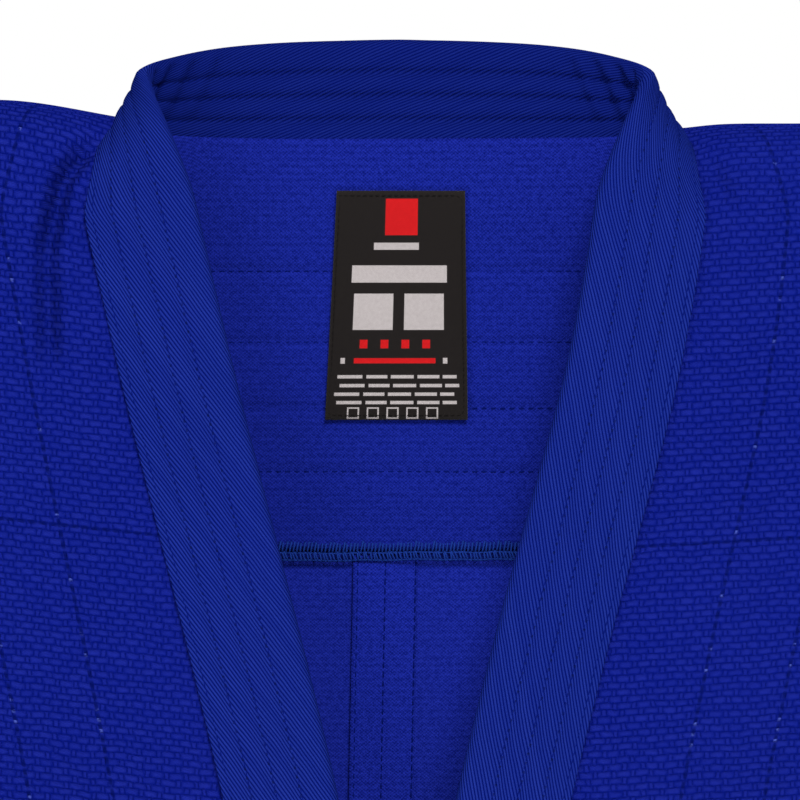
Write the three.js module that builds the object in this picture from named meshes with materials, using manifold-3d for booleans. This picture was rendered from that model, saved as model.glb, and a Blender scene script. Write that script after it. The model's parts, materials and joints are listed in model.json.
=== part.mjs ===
// Judo jacket, hung on a straight bar run through its shoulders.
// Millimetres, +Z up, +Y to the back of the jacket, +X to the wearer's left.
// The origin is the middle of the line on which the cloth rests on the bar.
import * as THREE from 'three';
import { mergeVertices } from 'three/addons/utils/BufferGeometryUtils.js';
import Module from 'manifold-3d';

const wasm = await Module();
wasm.setup();

// ---- driving dimensions ----
const bodyWidth = 580;
const hemDrop = 740;
const waistDrop = 440;
const ventDrop = 540;
const shoulderRadius = 28;
const hemHalfDepth = 66;
const cloth = 4;
const lining = 1.6;

const sleeveLength = 490;
const elbowAt = 250;
const armholeDrop = 236;
const cuffDrop = 190;
const cuffHalfDepth = 31;
const sleeveRound = 0.7;
const cuffHemWidth = 28;
const cuffHemWall = 2;

const lapelWidth = 46;
const lapelThickness = 8;
const coverWall = 1.6;
const facingWidth = 40;
const edgeGap = 3.5;
const lapelProud = 1;

const yokeDrop = 173;
const yokeTop = 14;
const overlockHeight = 7;
const overlockWall = 1.2;
const stripWidth = 27;
const stripOffset = -4;
const labelWidth = 56;
const labelHeight = 94;
const labelDrop = 25;
const labelWall = 0.8;

const patchWall = 2;
const ventPatchHeight = 60;
const ventPatchReach = 46;
const gussetReach = 44;
const gussetDrop = 64;

const clearance = 0.3;
const foldClearance = 2;

// ---- sizes that follow from them ----
const halfWidth = bodyWidth / 2;
const shoulderTop = cloth;
const archCentre = shoulderTop - shoulderRadius;
const panelSlope = (hemHalfDepth - shoulderRadius) / (hemDrop + archCentre);
const far = 2 * bodyWidth;
const sleeveBreaks = [0, elbowAt, sleeveLength - cuffHemWidth, sleeveLength];

// Centre line of each lapel, top to bottom: distance from the middle, height.
const lapelTop = [105, -31];
const lapelFoot = lapelWidth / 2 + edgeGap;
const lapelRoutes = {
  right: [lapelTop, [95.7, -72], [86.8, -110], [73.5, -163], [60.3, -215], [46.4, -274],
    [35, -335], [28.5, -395], [lapelFoot, -455], [lapelFoot, -600], [lapelFoot, -hemDrop]],
  left: [lapelTop, [99.2, -68], [90.5, -110], [76.9, -161], [64.5, -207], [48.2, -274],
    [36, -335], [29, -395], [lapelFoot, -455], [lapelFoot, -600], [lapelFoot, -hemDrop]],
};

// The way a lapel's free edge lies from its seam, where it meets the collar.
const lapelLean = [0.93, 0.22];
const neckEnd = [
  lapelTop[0] + lapelLean[0] * lapelWidth / 2,
  lapelTop[1] - lapelLean[1] * lapelWidth / 2,
];

// The collar's seam from the middle of the neck to the top of a lapel: distance from the
// middle, depth as a share of the shoulder's radius, height. Then where its free edge
// lies from there, as shares of the lapel's width.
const neckStations = [
  { seam: [0, 0.86, -7], rise: [0, 0.11, 0.96] },
  { seam: [45, 0.86, -7], rise: [-0.04, 0.1, 0.92] },
  { seam: [78, 0.77, -6], rise: [-0.13, 0.1, 0.85] },
  { seam: [99, 0.5, -3.5], rise: [-0.15, 0.09, 0.71] },
  { seam: [111.5, 0.04, -0.5], rise: [-0.18, 0.11, 0.55] },
  { seam: [119, -0.46, -5], rise: [-0.4, 0.02, 0.49] },
  { seam: [123.5, -0.84, -17], rise: [-0.66, -0.01, 0.41] },
];

// The fold on which each front swings open: from the collar to the top of the side vent.
const foldTop = new THREE.Vector2(...neckEnd);
const foldFoot = new THREE.Vector2(halfWidth - cloth, -ventDrop);

// ---- geometry helpers ----
const vec = (x, y, z) => new THREE.Vector3(x, y, z);
const mirrored = (v) => vec(-v.x, v.y, v.z);

// Half the depth of the body at height z, measured to the outside of the cloth.
function halfDepth(z) {
  return shoulderRadius + panelSlope * (archCentre - z);
}

// At the armhole a sleeve is widest where it lies in the plane of the body's cloth.
const armholeHalfDepth = halfDepth(-armholeDrop) / (1 + sleeveRound * panelSlope);

function facingOut(geometry) {
  const p = geometry.getAttribute('position');
  const index = geometry.getIndex();
  const [a, b, c] = [vec(), vec(), vec()];
  let volume = 0;
  for (let i = 0; i < index.count; i += 3) {
    a.fromBufferAttribute(p, index.getX(i));
    b.fromBufferAttribute(p, index.getX(i + 1));
    c.fromBufferAttribute(p, index.getX(i + 2));
    volume += a.dot(b.cross(c));
  }
  if (volume < 0) {
    const turned = [];
    for (let i = 0; i < index.count; i += 3) {
      turned.push(index.getX(i), index.getX(i + 2), index.getX(i + 1));
    }
    geometry.setIndex(turned);
  }
  return geometry;
}

// Closed body through rings of equally many points, each ring capped by a fan.
function loft(rings) {
  const n = rings[0].length;
  const points = rings.flat();
  const index = [];
  for (let r = 0; r < rings.length - 1; r += 1) {
    for (let i = 0; i < n; i += 1) {
      const [a, b] = [r * n + i, r * n + (i + 1) % n];
      index.push(a, b, b + n, a, b + n, a + n);
    }
  }
  for (const [r, turn] of [[0, true], [rings.length - 1, false]]) {
    const middle = rings[r].reduce((sum, v) => sum.add(v), vec(0, 0, 0)).divideScalar(n);
    points.push(middle);
    for (let i = 0; i < n; i += 1) {
      const [a, b] = [r * n + i, r * n + (i + 1) % n];
      index.push(points.length - 1, turn ? b : a, turn ? a : b);
    }
  }
  const geometry = new THREE.BufferGeometry().setFromPoints(points);
  geometry.setIndex(index);
  return facingOut(geometry);
}

function solid(geometry) {
  const bare = geometry.clone();
  bare.deleteAttribute('normal');
  bare.deleteAttribute('uv');
  const merged = mergeVertices(bare, 1e-4);
  return new wasm.Manifold(new wasm.Mesh({
    numProp: 3,
    vertProperties: new Float32Array(merged.getAttribute('position').array),
    triVerts: new Uint32Array(merged.getIndex().array),
  }));
}

function geometryOf(manifold) {
  const mesh = manifold.getMesh();
  const geometry = new THREE.BufferGeometry();
  const position = new THREE.BufferAttribute(new Float32Array(mesh.vertProperties), 3);
  geometry.setAttribute('position', position);
  geometry.setIndex(Array.from(mesh.triVerts));
  geometry.computeVertexNormals();
  return geometry;
}

// Slab between two heights, depths or widths: everything inside the given limits.
function slab({ x = [-far, far], y = [-far, far], z = [-far, far] }) {
  const box = new THREE.BoxGeometry(x[1] - x[0], y[1] - y[0], z[1] - z[0]);
  box.translate((x[0] + x[1]) / 2, (y[0] + y[1]) / 2, (z[0] + z[1]) / 2);
  return solid(box);
}

// Outline seen from the front, cut straight through from front to back.
function outlineThrough(points) {
  const shape = new THREE.Shape(points.map(([x, z]) => new THREE.Vector2(x, z)));
  const geometry = new THREE.ExtrudeGeometry(shape, { depth: 2 * far, bevelEnabled: false });
  geometry.translate(0, 0, -far);
  geometry.rotateX(Math.PI / 2);
  return solid(geometry);
}

const mirrorX = (points) => points.map(([x, ...rest]) => [-x, ...rest]);

// ---- cloth of the body and sleeves ----
// Level ring round the body, drawn in by inset from the outside of the cloth.
function bodyRing(z, inset) {
  const [w, d] = [halfWidth - inset, halfDepth(z) - inset];
  const cornerSteps = 6;
  const ring = [];
  for (const [sx, sy, start] of [[1, 1, 0], [-1, 1, 1], [-1, -1, 2], [1, -1, 3]]) {
    for (let i = 0; i <= cornerSteps; i += 1) {
      const angle = (start + i / cornerSteps) * Math.PI / 2;
      const round = d * 0.92;
      ring.push(vec(sx * (w - round) + round * Math.cos(angle),
        sy * (d - round) + round * Math.sin(angle), z));
    }
  }
  return ring;
}

// Upright ring round a sleeve at x: it hangs from the bar, rounded at the bottom.
function sleeveRing(x, inset) {
  const along = Math.max(0, (Math.abs(x) - halfWidth) / sleeveLength);
  const bottom = -THREE.MathUtils.lerp(armholeDrop, cuffDrop, along) + inset;
  const belly = THREE.MathUtils.lerp(armholeHalfDepth, cuffHalfDepth, along) - inset;
  const arch = shoulderRadius - inset;
  const steps = 10;
  const ring = [];
  for (let i = 0; i <= steps; i += 1) {
    const angle = i * Math.PI / steps;
    ring.push(vec(x, arch * Math.cos(angle), archCentre + arch * Math.sin(angle)));
  }
  for (let i = 0; i <= steps; i += 1) {
    const angle = Math.PI + i * Math.PI / steps;
    ring.push(vec(x, belly * Math.cos(angle),
      bottom + belly * sleeveRound * (1 + Math.sin(angle))));
  }
  return ring;
}

// The body and the level yoke above it, drawn in by inset and run past its open ends.
function torso(inset, reach = 0) {
  const body = loft([archCentre - 30, -ventDrop, -hemDrop - reach].map((z) => bodyRing(z, inset)));
  const end = halfWidth + reach;
  const yoke = loft([-end, end].map((x) => sleeveRing(halfWidth, inset).map((v) => v.setX(x))));
  return solid(body).add(solid(yoke));
}

const torsoLayer = (outside, inside) => torso(outside).subtract(torso(inside, 20));

// One layer of a sleeve. Layers share their breaks, so their facets lie parallel.
function sleeveLayer(side, from, to, outside, inside) {
  const s = side === 'left' ? 1 : -1;
  const tube = (a, b, inset) => solid(loft(
    [a, ...sleeveBreaks.filter((x) => x > a && x < b), b]
      .map((x) => sleeveRing(s * (halfWidth + x), inset))));
  return tube(from, to, outside).subtract(tube(from - 5, to + 5, inside));
}

// ---- collar and lapels ----
function bandRings(edges, { thickness, margin }) {
  const middle = edges.map(([seam, top]) => seam.clone().add(top).multiplyScalar(0.5));
  return edges.map(([seam, top], i) => {
    const along = middle[Math.min(i + 1, edges.length - 1)].clone()
      .sub(middle[Math.max(i - 1, 0)]);
    const across = top.clone().sub(seam);
    const out = across.clone().cross(along).normalize();
    const width = across.length();
    across.normalize();
    const bevel = Math.min(2.2, thickness * 0.3);
    const [h, near, farEdge] = [thickness / 2, margin, width - margin];
    return [[near, -h + bevel], [near + bevel, -h], [farEdge - bevel, -h], [farEdge, -h + bevel],
      [farEdge, h - bevel], [farEdge - bevel, h], [near + bevel, h], [near, h - bevel]]
      .map(([w, t]) => seam.clone().addScaledVector(across, w).addScaledVector(out, t));
  });
}

function extended(edges, by) {
  const grow = ([a, b], [c, d]) => [[a, c], [b, d]].map(([end, next]) => end.clone()
    .addScaledVector(end.clone().sub(next).normalize(), by));
  return [grow(edges[0], edges[1]), ...edges, grow(edges.at(-1), edges.at(-2))];
}

function band(edges) {
  const full = { thickness: lapelThickness, margin: 0 };
  const hollow = { thickness: lapelThickness - 2 * coverWall, margin: coverWall };
  const coreSize = {
    thickness: hollow.thickness - 2 * clearance,
    margin: hollow.margin + clearance,
  };
  const keepOut = { thickness: lapelThickness + 2 * clearance, margin: -clearance };
  const cover = solid(loft(bandRings(edges, full)))
    .subtract(solid(loft(bandRings(extended(edges, 4), hollow))));
  return {
    cover,
    core: solid(loft(bandRings(edges, coreSize))),
    keepOut: solid(loft(bandRings(extended(edges, clearance), keepOut))),
  };
}

function neckSide() {
  const stations = neckStations.map(({ seam: [x, depth, z], rise }) => {
    const seam = vec(x, depth * shoulderRadius, z);
    return [seam, seam.clone().addScaledVector(vec(...rise), lapelWidth)];
  });
  const end = vec(neckEnd[0], lapelProud - halfDepth(neckEnd[1]), neckEnd[1]);
  const lean = vec(-lapelLean[0], 0, lapelLean[1]);
  return [...stations, [end, end.clone().addScaledVector(lean, lapelWidth)]];
}

function neckEdges() {
  const half = neckSide();
  const other = half.slice(1).reverse().map((pair) => pair.map(mirrored));
  return [...other, ...half];
}

// Points along one edge of a lapel, offset sideways from its centre line.
function lapelEdge(side, offset) {
  const s = side === 'left' ? 1 : -1;
  const route = lapelRoutes[side].map(([x, z]) => new THREE.Vector2(x, z));
  const curve = new THREE.CatmullRomCurve3(route.map((p) => vec(p.x, 0, p.y)));
  const steps = 24;
  return Array.from({ length: steps + 1 }, (_, i) => {
    const p = curve.getPointAt(i / steps);
    const t = curve.getTangentAt(i / steps);
    return [s * (p.x - t.z * offset), p.z + t.x * offset];
  });
}

function lapelEdges(side) {
  const outer = lapelEdge(side, lapelWidth / 2);
  const inner = lapelEdge(side, -lapelWidth / 2);
  const onFront = ([x, z]) => vec(x, lapelProud - halfDepth(z), z);
  return outer.map((point, i) => [onFront(point), onFront(inner[i])]);
}

const hemCut = slab({ z: [-hemDrop, far] });
const belowCollar = outlineThrough([[-far, foldTop.y - foldClearance],
  [far, foldTop.y - foldClearance], [far, -far], [-far, -far]]);
const neck = band(neckEdges());
const neckCut = slab({ z: [foldTop.y, far] });
const lapels = {};
for (const side of ['left', 'right']) {
  lapels[side] = band(extended(lapelEdges(side), 2));
}

// Everything inside the collar and between the lapels, to be left out of the cloth.
function frontGap() {
  const left = lapelEdge('left', lapelWidth / 2 + clearance);
  const right = lapelEdge('right', lapelWidth / 2 + clearance);
  const top = archCentre;
  const points = [[left[0][0], top], ...left, [left.at(-1)[0], -far],
    [right.at(-1)[0], -far], ...right.reverse(), [right.at(-1)[0], top]];
  return outlineThrough(points).intersect(slab({ y: [-far, 0] }));
}

function neckHole() {
  const half = neckSide().map(([{ x, y }]) => [x + clearance, y + clearance]);
  const shape = new THREE.Shape([...mirrorX(half).reverse(), ...half,
    [half.at(-1)[0], -far], [-half.at(-1)[0], -far]].map(([x, y]) => new THREE.Vector2(x, y)));
  const geometry = new THREE.ExtrudeGeometry(shape, { depth: far, bevelEnabled: false });
  geometry.translate(0, 0, archCentre);
  return solid(geometry);
}

const holes = [frontGap(), neckHole(), neck.keepOut, lapels.left.keepOut, lapels.right.keepOut];
const withHoles = (cloth3d) => holes.reduce((left, hole) => left.subtract(hole), cloth3d);

// ---- outlines that divide the cloth into its cut pieces ----
const gapped = (points, dx, dz) => points.map(([x, z]) => [x + dx, z + dz]);
const swing = [[foldTop.x, foldTop.y], [foldFoot.x, foldFoot.y]];
const fixedFront = outlineThrough([[0, far], [0, foldTop.y], ...swing, [far, -ventDrop], [far, far]]);
const swingFront = outlineThrough([[-far, foldTop.y - clearance],
  ...gapped(swing, -clearance, -clearance), [far, -ventDrop - clearance], [far, -far], [-far, -far]]);
const sided = (outline, side) => (side === 'left' ? outline : outline.mirror([1, 0, 0]));
const half = (side) => slab({ x: side === 'left' ? [0, far] : [-far, 0] });
const front = slab({ y: [-far, -clearance / 2] });
const back = slab({ y: [clearance / 2, far] });
const level = (low, high) => slab({ z: [low + clearance / 2, high - clearance / 2] });

const shell = withHoles(torsoLayer(0, cloth)).intersect(hemCut);
const insideOf = cloth + clearance;

// ---- materials ----
const colours = {
  rice: new THREE.MeshStandardMaterial({ color: 0x121f85, roughness: 0.92, metalness: 0 }),
  twill: new THREE.MeshStandardMaterial({ color: 0x16278c, roughness: 0.88, metalness: 0 }),
  plain: new THREE.MeshStandardMaterial({ color: 0x142183, roughness: 0.92, metalness: 0 }),
  diamond: new THREE.MeshStandardMaterial({ color: 0x131f80, roughness: 0.92, metalness: 0 }),
  thread: new THREE.MeshStandardMaterial({ color: 0x14328e, roughness: 0.6, metalness: 0 }),
  core: new THREE.MeshStandardMaterial({ color: 0xd8d5cc, roughness: 0.95, metalness: 0 }),
  label: new THREE.MeshStandardMaterial({ color: 0x201c1c, roughness: 0.7, metalness: 0 }),
};

const jacket = new THREE.Group();

function addPiece(name, manifold, material) {
  const mesh = new THREE.Mesh(geometryOf(manifold), material.clone());
  mesh.name = name;
  jacket.add(mesh);
}

// ---- back ----
addPiece('back_panel', shell.intersect(back).intersect(level(-waistDrop, far)), colours.rice);
addPiece('back_skirt', shell.intersect(back).intersect(level(-ventDrop, -waistDrop)),
  colours.diamond);
addPiece('back_tail', shell.intersect(back)
  .intersect(slab({ z: [-hemDrop, -ventDrop - foldClearance] })), colours.diamond);

const yokeWidth = bodyWidth - 2 * cloth;
const yoke = withHoles(torsoLayer(insideOf, insideOf + lining)).intersect(back)
  .intersect(slab({ x: [-yokeWidth / 2, yokeWidth / 2], z: [-yokeDrop, -yokeTop] }));
addPiece('yoke_lining', yoke, colours.plain);

const onYoke = insideOf + lining + clearance;
addPiece('overlock_seam', torsoLayer(onYoke, onYoke + overlockWall).intersect(back)
  .intersect(slab({ x: [-yokeWidth / 2, yokeWidth / 2], z: [-yokeDrop, overlockHeight - yokeDrop] })),
colours.thread);
addPiece('centre_back_strip', torsoLayer(insideOf, insideOf + lining).intersect(back)
  .intersect(slab({
    x: [stripOffset - stripWidth / 2, stripOffset + stripWidth / 2],
    z: [-waistDrop, -yokeDrop - clearance],
  })), colours.plain);
addPiece('neck_label', torsoLayer(onYoke, onYoke + labelWall).intersect(back)
  .intersect(slab({ x: [-labelWidth / 2, labelWidth / 2], z: [-labelDrop - labelHeight, -labelDrop] })),
colours.label);

// ---- collar ----
addPiece('collar', neck.cover.intersect(neckCut), colours.twill);
addPiece('collar_core', neck.core.intersect(neckCut), colours.core);

// ---- pieces that come in pairs ----
for (const side of ['left', 'right']) {
  const fixed = sided(fixedFront, side);
  const swinging = sided(swingFront, side).intersect(half(side));
  addPiece(`${side}_shoulder_front`, shell.intersect(front).intersect(fixed).intersect(half(side)),
    colours.rice);
  addPiece(`${side}_front_panel`, shell.intersect(front).intersect(swinging)
    .intersect(level(-waistDrop, far)), colours.rice);
  addPiece(`${side}_front_skirt`, shell.intersect(front).intersect(swinging)
    .intersect(level(-far, -waistDrop)), colours.diamond);

  const lapelCut = belowCollar.intersect(hemCut);
  addPiece(`${side}_lapel`, lapels[side].cover.intersect(lapelCut), colours.twill);
  addPiece(`${side}_lapel_core`, lapels[side].core.intersect(lapelCut), colours.core);

  const facingOutline = outlineThrough([
    ...lapelEdge(side, lapelWidth / 2 + clearance),
    ...lapelEdge(side, lapelWidth / 2 + facingWidth).reverse()]);
  addPiece(`${side}_front_facing`, torsoLayer(insideOf, insideOf + lining).intersect(front)
    .intersect(facingOutline).intersect(swinging).intersect(hemCut)
    .subtract(lapels[side].keepOut), colours.plain);

  const s = side === 'left' ? 1 : -1;
  addPiece(`${side}_upper_sleeve`, sleeveLayer(side, clearance, elbowAt, 0, cloth), colours.rice);
  addPiece(`${side}_lower_sleeve`, sleeveLayer(side, elbowAt + clearance, sleeveLength, 0, cloth),
    colours.rice);
  addPiece(`${side}_cuff_hem`, sleeveLayer(side, sleeveLength - cuffHemWidth, sleeveLength,
    -clearance - cuffHemWall, -clearance), colours.rice);

  const edge = halfWidth - 2;
  const gusset = outlineThrough([
    [edge - gussetReach, -armholeDrop - gussetReach / 2],
    [edge, -armholeDrop + gussetReach / 3],
    [edge, -armholeDrop - 8],
    [far, -armholeDrop - 8],
    [far, -armholeDrop - gussetDrop],
    [edge, -armholeDrop - gussetDrop]].map(([x, z]) => [s * x, z]));
  const patchLayer = torsoLayer(-clearance - patchWall, -clearance);
  addPiece(`${side}_underarm_gusset`, patchLayer.intersect(gusset), colours.rice);

  const ventPatch = outlineThrough([
    [halfWidth - ventPatchReach, -ventDrop + 2],
    [halfWidth - ventPatchReach, -ventDrop + ventPatchHeight * 0.55],
    [halfWidth - ventPatchReach * 0.3, -ventDrop + ventPatchHeight],
    [far, -ventDrop + ventPatchHeight],
    [far, -ventDrop + 2]].map(([x, z]) => [s * x, z]));
  addPiece(`${side}_vent_patch`, patchLayer.intersect(ventPatch).intersect(back), colours.rice);
}

export default jacket;
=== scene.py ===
# Looks of a judo jacket that hangs open on a straight bar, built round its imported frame.
# Metres, +Z up, +Y to the back of the jacket, +X to the wearer's left.
import json
import math
import bpy
import numpy as np
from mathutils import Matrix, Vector


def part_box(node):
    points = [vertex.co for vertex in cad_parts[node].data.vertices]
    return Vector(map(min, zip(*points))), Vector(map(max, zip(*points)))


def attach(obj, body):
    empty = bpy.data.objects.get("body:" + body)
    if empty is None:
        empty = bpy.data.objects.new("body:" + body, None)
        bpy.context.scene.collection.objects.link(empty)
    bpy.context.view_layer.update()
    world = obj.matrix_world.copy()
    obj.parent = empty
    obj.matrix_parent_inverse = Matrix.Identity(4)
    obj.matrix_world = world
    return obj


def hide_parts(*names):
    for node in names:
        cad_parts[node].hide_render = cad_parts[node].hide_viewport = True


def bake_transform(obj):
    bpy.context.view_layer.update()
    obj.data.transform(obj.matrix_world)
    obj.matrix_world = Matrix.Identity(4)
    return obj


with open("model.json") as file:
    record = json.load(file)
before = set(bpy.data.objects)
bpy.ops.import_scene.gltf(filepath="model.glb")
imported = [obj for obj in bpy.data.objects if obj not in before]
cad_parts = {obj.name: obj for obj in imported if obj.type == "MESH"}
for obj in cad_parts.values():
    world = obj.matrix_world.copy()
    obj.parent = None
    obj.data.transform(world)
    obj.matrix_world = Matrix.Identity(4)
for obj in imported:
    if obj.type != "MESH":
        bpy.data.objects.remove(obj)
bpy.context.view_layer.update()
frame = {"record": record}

# ---- sizes taken from the frame ----
HALF_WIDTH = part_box("back_panel")[1].x
SHOULDER_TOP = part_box("back_panel")[1].z
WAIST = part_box("back_skirt")[1].z
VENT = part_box("left_shoulder_front")[0].z
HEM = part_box("back_tail")[0].z
HEM_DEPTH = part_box("back_tail")[1].y
SLEEVE_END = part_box("left_lower_sleeve")[1].x
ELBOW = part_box("left_lower_sleeve")[0].x
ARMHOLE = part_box("left_upper_sleeve")[0].z
CUFF_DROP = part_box("left_cuff_hem")[0].z + 0.0023
CUFF_HEM_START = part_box("left_cuff_hem")[0].x
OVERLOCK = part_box("yoke_lining")[0].z
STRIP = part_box("centre_back_strip")
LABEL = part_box("neck_label")

# ---- sizes that the boxes don't give ----
TURN = {"left": 1, "right": -1}
SHOULDER_RADIUS = 0.028
CUFF_DEPTH = 0.031
SLEEVE_ROUND = 0.7
CLOTH = 0.004
LINING = 0.0016
GAP = 0.0003
BAND_WIDTH = 0.046
BAND_THICKNESS = 0.008
BAND_PROUD = 0.001
FACING_WIDTH = 0.040
PATCH = 0.002
UNDER_BAND = 0.003
LABEL_TOP = -0.0233
NECK_X = 0.1125
NECK_SINK = 0.0235
COLLAR_END = -0.0335

# How deep the lining's two sides lie under the outside of the cloth, and how far it puffs out.
LINING_BACK = CLOTH + GAP
LINING_FACE = LINING_BACK + LINING
LINING_PUFF = 0.0008

# Half the width over which the hanging body is flat, before it turns to the side seams.
FLAT = 0.225

# Slope of the weave's rows on each front: both rise towards the side seams.
HANG_TILT = {"right": 0.105, "left": -0.055}

# Quilting rows as shares of the band's width, and the level rows of the body by height.
QUILT_ROWS = (0.25, 0.47, 0.69)
LINING_ROWS = (-0.0567, -0.0864, -0.1141, -0.1407)
HEM_ROWS = (HEM + 0.006, HEM + 0.016)
WAIST_ROWS = (WAIST + 0.004, WAIST - 0.004)

# Dashed rows beside each lapel: how far out at the shoulder, their spread, and their stitch.
ROW_START, ROW_APART, ROW_SPREAD, ROW_STITCH = 0.031, 0.034, 0.045, 0.0043

ARCH = SHOULDER_TOP - SHOULDER_RADIUS
SLOPE = (HEM_DEPTH - SHOULDER_RADIUS) / (ARCH - HEM)
LEAN = math.hypot(1, SLOPE)
OVER = SHOULDER_RADIUS * math.pi / 2
ARMHOLE_BELLY = (SHOULDER_RADIUS + SLOPE * (ARCH - ARMHOLE)) / (1 + SLEEVE_ROUND * SLOPE)

# Centre line of each lapel, top to bottom: distance from the middle, height. Then the heights
# from where it hangs straight down.
LAPEL_FOOT = BAND_WIDTH / 2 + 0.0035
LAPEL_STRAIGHT = (-0.455, -0.53, -0.60, -0.67, HEM)
LAPEL_ROUTES = {
    "right": [(0.105, -0.031), (0.0957, -0.072), (0.0868, -0.110), (0.0735, -0.163),
              (0.0603, -0.215), (0.0464, -0.274), (0.035, -0.335), (0.0285, -0.395)],
    "left": [(0.105, -0.031), (0.0992, -0.068), (0.0905, -0.110), (0.0769, -0.161),
             (0.0645, -0.207), (0.0482, -0.274), (0.036, -0.335), (0.029, -0.395)],
}
LAPEL_LEAN = (0.93, 0.22)

# The collar's seam from the middle of the neck to a lapel: distance from the middle, depth as
# a share of the shoulder's radius, height. Then its free edge from there, in lapel widths.
NECK_STATIONS = [
    ((0.0, 0.86, -0.0055), (0, 0.11, 1.0)),
    ((0.045, 0.86, -0.0055), (-0.04, 0.10, 0.974)),
    ((0.078, 0.77, -0.0050), (-0.13, 0.10, 0.911)),
    ((0.099, 0.50, -0.0035), (-0.15, 0.09, 0.785)),
    ((0.1115, 0.04, -0.0005), (-0.18, 0.11, 0.607)),
    ((0.119, -0.46, -0.005), (-0.40, 0.02, 0.50)),
    ((0.1235, -0.84, -0.017), (-0.66, -0.01, 0.41)),
]

# How much paler a colour looks under the lamps than its own value.
LAMP_SHARE = 0.33

# Plain marks woven into the label: middle and half size, across and down, from its top middle.
LABEL_GREY = [(-0.0015, 0.0213, 0.0096, 0.0014), (0, 0.0326, 0.0200, 0.0036)]
LABEL_GREY += [(u, 0.0484, 0.0082, 0.0076) for u in (-0.0105, 0.0105)]
LABEL_GREY += [(u, 0.0689, 0.0009, 0.0012) for u in (-0.0222, 0.0192)]
LABEL_GREY += [(u + shift, v, half, 0.0007) for v, shift in (
    (0.0756, 0.0), (0.0793, 0.001), (0.0829, -0.001), (0.0864, 0.0)) for u, half in (
    (-0.0190, 0.0050), (-0.0082, 0.0042), (0.0020, 0.0046), (0.0125, 0.0044), (0.0210, 0.0028))]
LABEL_GREY += [(u + d, 0.0908, 0.0003, 0.0022) for u in (-0.0172, -0.0094, -0.0016, 0.0062, 0.0140)
               for d in (-0.0021, 0.0021)]
LABEL_GREY += [(u, 0.0908 + d, 0.0024, 0.0003) for u in (-0.0172, -0.0094, -0.0016, 0.0062, 0.0140)
               for d in (-0.0021, 0.0021)]
LABEL_RED = [(0.0005, 0.0100, 0.0070, 0.0070), (-0.0012, 0.0689, 0.0165, 0.0011)]
LABEL_RED += [(u, 0.0619, 0.0016, 0.0018) for u in (-0.0140, -0.0055, 0.0030, 0.0115)]

# Soft creases pressed into the cloth: side, ends as (x, z), depth, width.
CREASES = [
    ("front", (-0.118, -0.006), (-0.130, -0.014), 0.0066, 0.0042),
    ("front", (-0.128, -0.011), (-0.139, -0.027), 0.0108, 0.0042),
    ("front", (-0.137, -0.024), (-0.144, -0.052), 0.0126, 0.0044),
    ("front", (-0.143, -0.048), (-0.142, -0.098), 0.0092, 0.0048),
    ("front", (-0.163, -0.040), (-0.158, -0.120), 0.0020, 0.0110),
    ("front", (0.128, -0.010), (0.138, -0.034), 0.0030, 0.0060),
    ("front", (0.150, -0.020), (0.172, -0.120), 0.0018, 0.012),
    ("front", (-0.205, -0.060), (-0.165, -0.230), 0.0024, 0.016),
    ("front", (0.215, -0.110), (0.150, -0.330), 0.0026, 0.018),
    ("front", (-0.250, -0.200), (-0.120, -0.420), 0.0030, 0.018),
    ("back", (-0.230, -0.150), (-0.060, -0.380), 0.0030, 0.022),
    ("back", (0.240, -0.130), (0.090, -0.420), 0.0030, 0.022),
    ("back", (0.030, -0.200), (-0.010, -0.430), 0.0022, 0.020),
]


# ---- camera ----
def make_camera():
    data = bpy.data.cameras.new("camera")
    camera = bpy.data.objects.new("camera", data)
    bpy.context.collection.objects.link(camera)
    distance, seen_width = 2.5, 0.328
    data.sensor_width = 36
    data.lens = data.sensor_width * distance / seen_width
    data.clip_end = 200
    camera.location = (0.002, -distance - SHOULDER_RADIUS, -0.1107)
    camera.rotation_euler = (math.pi / 2, 0, 0)
    bpy.context.scene.camera = camera


make_camera()


# ---- small numeric tools ----
def smooth(low, high, value):
    t = np.clip((np.asarray(value, float) - low) / (high - low), 0, 1)
    return t * t * (3 - 2 * t)


def ripple(x, z, size, seed):
    """Soft noise between -1 and 1 over the cloth, with bumps of about the given size."""
    cells = 64
    grid = np.random.RandomState(seed).uniform(-1, 1, (cells, cells))
    gx, gz = np.asarray(x) / size, np.asarray(z) / size
    ix, iz = np.floor(gx).astype(int), np.floor(gz).astype(int)
    fx, fz = smooth(0, 1, gx - ix), smooth(0, 1, gz - iz)
    left, right, low, high = ix % cells, (ix + 1) % cells, iz % cells, (iz + 1) % cells
    near = grid[left, low] * (1 - fx) + grid[right, low] * fx
    far = grid[left, high] * (1 - fx) + grid[right, high] * fx
    return near * (1 - fz) + far * fz


def catmull(points, per_span):
    """Points along a smooth curve through the given ones."""
    points = np.array(points, float)
    ends = np.vstack([2 * points[0] - points[1], points, 2 * points[-1] - points[-2]])
    made = []
    for i in range(len(points) - 1):
        a, b, c, d = ends[i:i + 4]
        for t in np.arange(per_span) / per_span:
            made.append(0.5 * (2 * b + (c - a) * t + (2 * a - 5 * b + 4 * c - d) * t * t
                               + (3 * b - a - 3 * c + d) * t ** 3))
    return np.vstack([made, points[-1:]])


def spaced(points, step):
    """The same line with its points the given step apart."""
    lengths = np.r_[0, np.cumsum(np.linalg.norm(np.diff(points, axis=0), axis=1))]
    count = max(2, int(round(lengths[-1] / step)) + 1)
    at = np.linspace(0, lengths[-1], count)
    return np.stack([np.interp(at, lengths, points[:, k]) for k in range(points.shape[1])], 1)


def unit(v):
    return v / np.maximum(np.linalg.norm(v, axis=-1, keepdims=True), 1e-12)


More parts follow.
